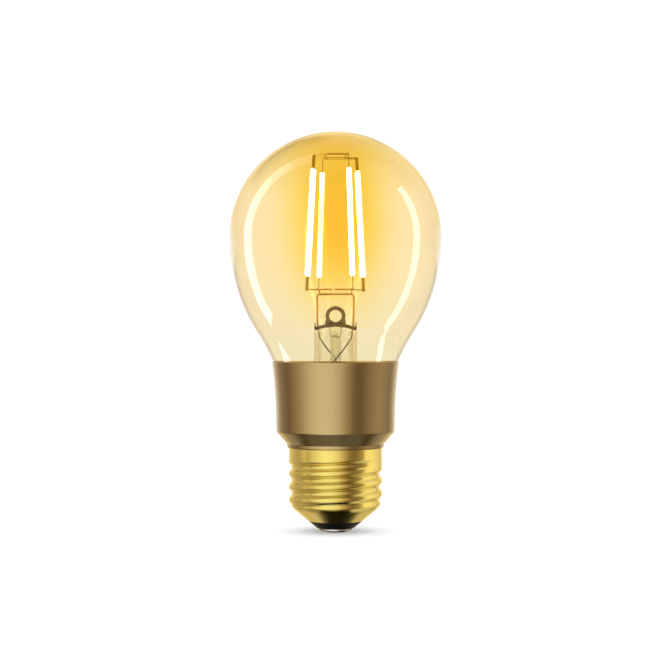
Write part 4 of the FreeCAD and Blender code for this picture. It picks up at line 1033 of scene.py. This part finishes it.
def make_world():
    """White studio; what metal and glass mirror has darker and lighter upright bands."""
    world = bpy.data.worlds.new("studio")
    bpy.context.scene.world = world
    world.use_nodes = True
    world.node_tree.nodes.clear()
    studio = Nodes(world.node_tree)

    def warm(level):
        """Dark parts of the studio are brownish, bright parts white."""
        share = min(level, 1) ** 1.45
        return (level, level * (0.70 + 0.30 * share), level * (0.48 + 0.52 * share))

    def patch(centre, inner, outer, level):
        """Darker patch around a direction, from one cosine to another."""
        near = studio.node("VectorMath", {1: centre}, operation="DOT_PRODUCT")
        studio.link(direction, near.inputs[0])
        return studio.ramp(near.outputs["Value"], [
            (0.0, white), (outer, white), (inner, (level,) * 3), (1.0, (level,) * 3)], "EASE")

    def between(value, first, last):
        """Smooth mask that is 0 up to the first value and 1 from the last."""
        return studio.spread(value, 0, 1, first, last, "SMOOTHSTEP")

    def both(a, b):
        return studio.math("MULTIPLY", a, b)

    white, mirror_limit, seen_level = (1, 1, 1), 2.5, 1.07
    direction = studio.node("TexCoord").outputs["Generated"]
    split = studio.node("SeparateXYZ")
    studio.link(direction, split.inputs["Vector"])
    x, y, z = split.outputs
    around = studio.math("ARCTAN2", x, studio.math("MULTIPLY", y, -1))
    around = studio.math("MULTIPLY_ADD", around, 1 / (2 * math.pi), 0.5)
    bands = [(-180, 1.1), (-152, 0.95), (-140, 0.65), (-126, 0.36), (-101, 0.24), (-84, 0.42),
             (-70, 0.56), (-58, 0.78), (-45, 0.92), (-28, 1.05), (-10, 1.0), (3, 0.88),
             (24, 0.50), (34, 0.27), (46, 0.20), (57, 0.28), (68, 0.40), (80, 0.47),
             (92, 0.54), (105, 0.48), (118, 0.36), (129, 0.36), (140, 0.7), (152, 0.95),
             (180, 1.1)]
    bands = [((angle + 180) / 360, warm(level)) for angle, level in bands]
    rises = [(0.0, 0.35), (0.03, 0.7), (0.075, 0.92), (0.25, 1.0), (0.72, 1.0), (0.84, 0.70),
             (1.0, 0.22)]
    rises = [(at, (level,) * 3) for at, level in rises]
    up = studio.ramp(studio.math("MULTIPLY_ADD", z, 0.5, 0.5), rises, "EASE")
    mirror = studio.mix(1.0, studio.ramp(around, bands, "EASE"), up, "MULTIPLY")
    for spot in (patch((0.10, 0.27, -0.957), 0.975, 0.88, 0.05),
                 patch((-0.36, 0.68, 0.64), 0.98, 0.93, 0.3)):
        mirror = studio.mix(1.0, mirror, spot, "MULTIPLY")
    front_floor = both(between(z, -0.45, -0.75), between(y, 0.55, 0.22))
    below = both(front_floor, between(y, -0.32, -0.08))
    under = both(between(y, 0.35, 0.7), between(z, -0.3, -0.5))
    flank = both(between(studio.math("ABSOLUTE", x), 0.50, 0.66), between(z, -0.3, -0.42))
    behind = both(between(y, 0.45, 0.9), between(studio.math("ABSOLUTE", z), 0.04, 0.14))
    for mask, tint in (
        (front_floor, (0.70, 0.72, 0.80)),
        (below, (0.36, 0.32, 0.24)),
        (under, (0.68, 0.66, 0.58)),
        (flank, (0.60, 0.64, 0.74)),
        (behind, (0.97, 0.84, 0.54)),
    ):
        shading = studio.ramp(mask, [(0.0, white), (1.0, tint)])
        mirror = studio.mix(1.0, mirror, shading, "MULTIPLY")

    path = studio.node("LightPath")
    mirrored = both(studio.math("GREATER_THAN", path.outputs["Glossy Depth"], 0.5),
                    studio.math("LESS_THAN", path.outputs["Transmission Depth"], mirror_limit))
    back = studio.node("Background")
    studio.link(studio.mix(mirrored, (seen_level,) * 3, mirror), back.inputs["Color"])
    out = studio.node("OutputWorld")
    studio.link(back.outputs["Background"], out.inputs["Surface"])


def softbox(name, azimuth, low, high, distance, width, radiance, only=None, upright=False):
    """Area light that faces the bulb, or stands upright, between two elevations seen from it.

    Azimuth 0 is at the camera, positive to the right. Angles in degrees, distance in metres.
    The light falls on one piece only, or on everything but the floor."""
    low, high = math.radians(low), math.radians(high)
    middle = (low + high) / 2
    tall = 2 * distance * math.tan((high - low) / 2)
    if upright:
        tall = distance * (math.tan(high) - math.tan(low))
    light = bpy.data.lights.new(name, "AREA")
    light.shape = "RECTANGLE"
    light.size, light.size_y = width, tall
    light.energy = radiance * 4 * width * tall
    thing = put(name, light)
    a, e = math.radians(azimuth), 0 if upright else middle
    away = Vector((math.sin(a) * math.cos(e), -math.cos(a) * math.cos(e), math.sin(e)))
    lift = distance * (math.tan(high) + math.tan(low)) / 2 if upright else 0
    thing.location = away * distance + Vector((0, 0, CROWN_Z * MM + lift))
    thing.rotation_euler = away.to_track_quat("Z", "Y").to_euler()
    thing.visible_camera = False
    thing.visible_transmission = False
    group = bpy.data.collections.new(name + "_receivers")
    group.objects.link(bpy.data.objects[only or "studio_floor"])
    if not only:
        group.collection_objects[0].light_linking.link_state = "EXCLUDE"
        thing.visible_glossy = False
    thing.light_linking.receiver_collection = group
    return thing


def make_lights():
    """Soft main light, strips that the glass and metal mirror, and a wash on the floor."""
    softbox("key_softbox", -35, 20, 65, 0.9, 0.9, 0.9)
    softbox("fill_softbox", 60, 10, 45, 0.9, 0.9, 0.6)
    near, low, high = 0.45, -35.2, 73
    levels = (8.0, 8.0, 7.8, 6.8, 5.2, 3.4, 1.7)
    count = len(levels)
    for i, level in enumerate(levels):
        azimuth = -107.5 + 3.5 * math.sqrt(i / count)
        start = low + (high - low) * i / count
        stop = low + (high - low) * (i + 1) / count
        softbox(f"left_strip_{i + 1}", azimuth, start, stop, near, 0.108, level, "glass_bulb")
    softbox("right_strip", 94.5, -46, 38.5, near, 0.085, 8.0, "glass_bulb", upright=True)
    softbox("cap_strip", 103, -70, 70, near, 0.50, 0.42, "screw_cap", upright=True)
    softbox("cap_edge", -105, -70, 70, near, 0.52, 0.18, "screw_cap", upright=True)
    fill = softbox("chamfer_fill", 0, -112, -68, near, 0.45, 0.11, "collar_sleeve")
    fill.light_linking.blocker_collection = fill.light_linking.receiver_collection
    for side in (-1, 1):
        cool = softbox(f"collar_cool_{side}", 125 * side, -50, 50, near, 0.3, 0.06,
                       "collar_sleeve", upright=True)
        cool.data.color = (0.15, 0.5, 1.0)
    wash = softbox("floor_wash", 0, 60, 120, 1.2, 1.4, 0.85, "studio_floor")
    wash.light_linking.blocker_collection = wash.light_linking.receiver_collection


def make_camera():
    """Level view from the front. The view is 187.6 mm wide at the bulb's axis."""
    distance, view_width, sensor = 0.5, 187.6 * MM, 36
    middle_x, middle_z = -0.14 * MM, 54.9 * MM
    data = bpy.data.cameras.new("camera")
    data.sensor_width = sensor
    data.lens = sensor * distance / view_width
    data.clip_start = 0.01
    camera = put("camera", data)
    camera.location = (middle_x, -distance, middle_z)
    camera.rotation_euler = (math.radians(90), 0, 0)
    bpy.context.scene.camera = camera


def settings():
    """Colours as they are, and enough bounces for glass behind glass."""
    scene, cycles = bpy.context.scene, bpy.context.scene.cycles
    scene.view_settings.view_transform = "Standard"
    scene.view_settings.look = "None"
    cycles.max_bounces = 24
    cycles.transmission_bounces = 24
    cycles.transparent_max_bounces = 48
    cycles.glossy_bounces = 6
    cycles.diffuse_bounces = 3
    cycles.caustics_reflective = False
    cycles.caustics_refractive = False
    cycles.sample_clamp_indirect = 6.0


make_glass()
make_glow()
make_stem()
make_exhaust()
make_press()
make_leads()
make_electrodes()
make_arms()
make_bridge()
for number in range(4):
    make_filament(number)
make_collar()
make_shell()
make_insulator()
make_contact()
dress_frame()
make_floor()
make_world()
make_lights()
make_camera()
settings()
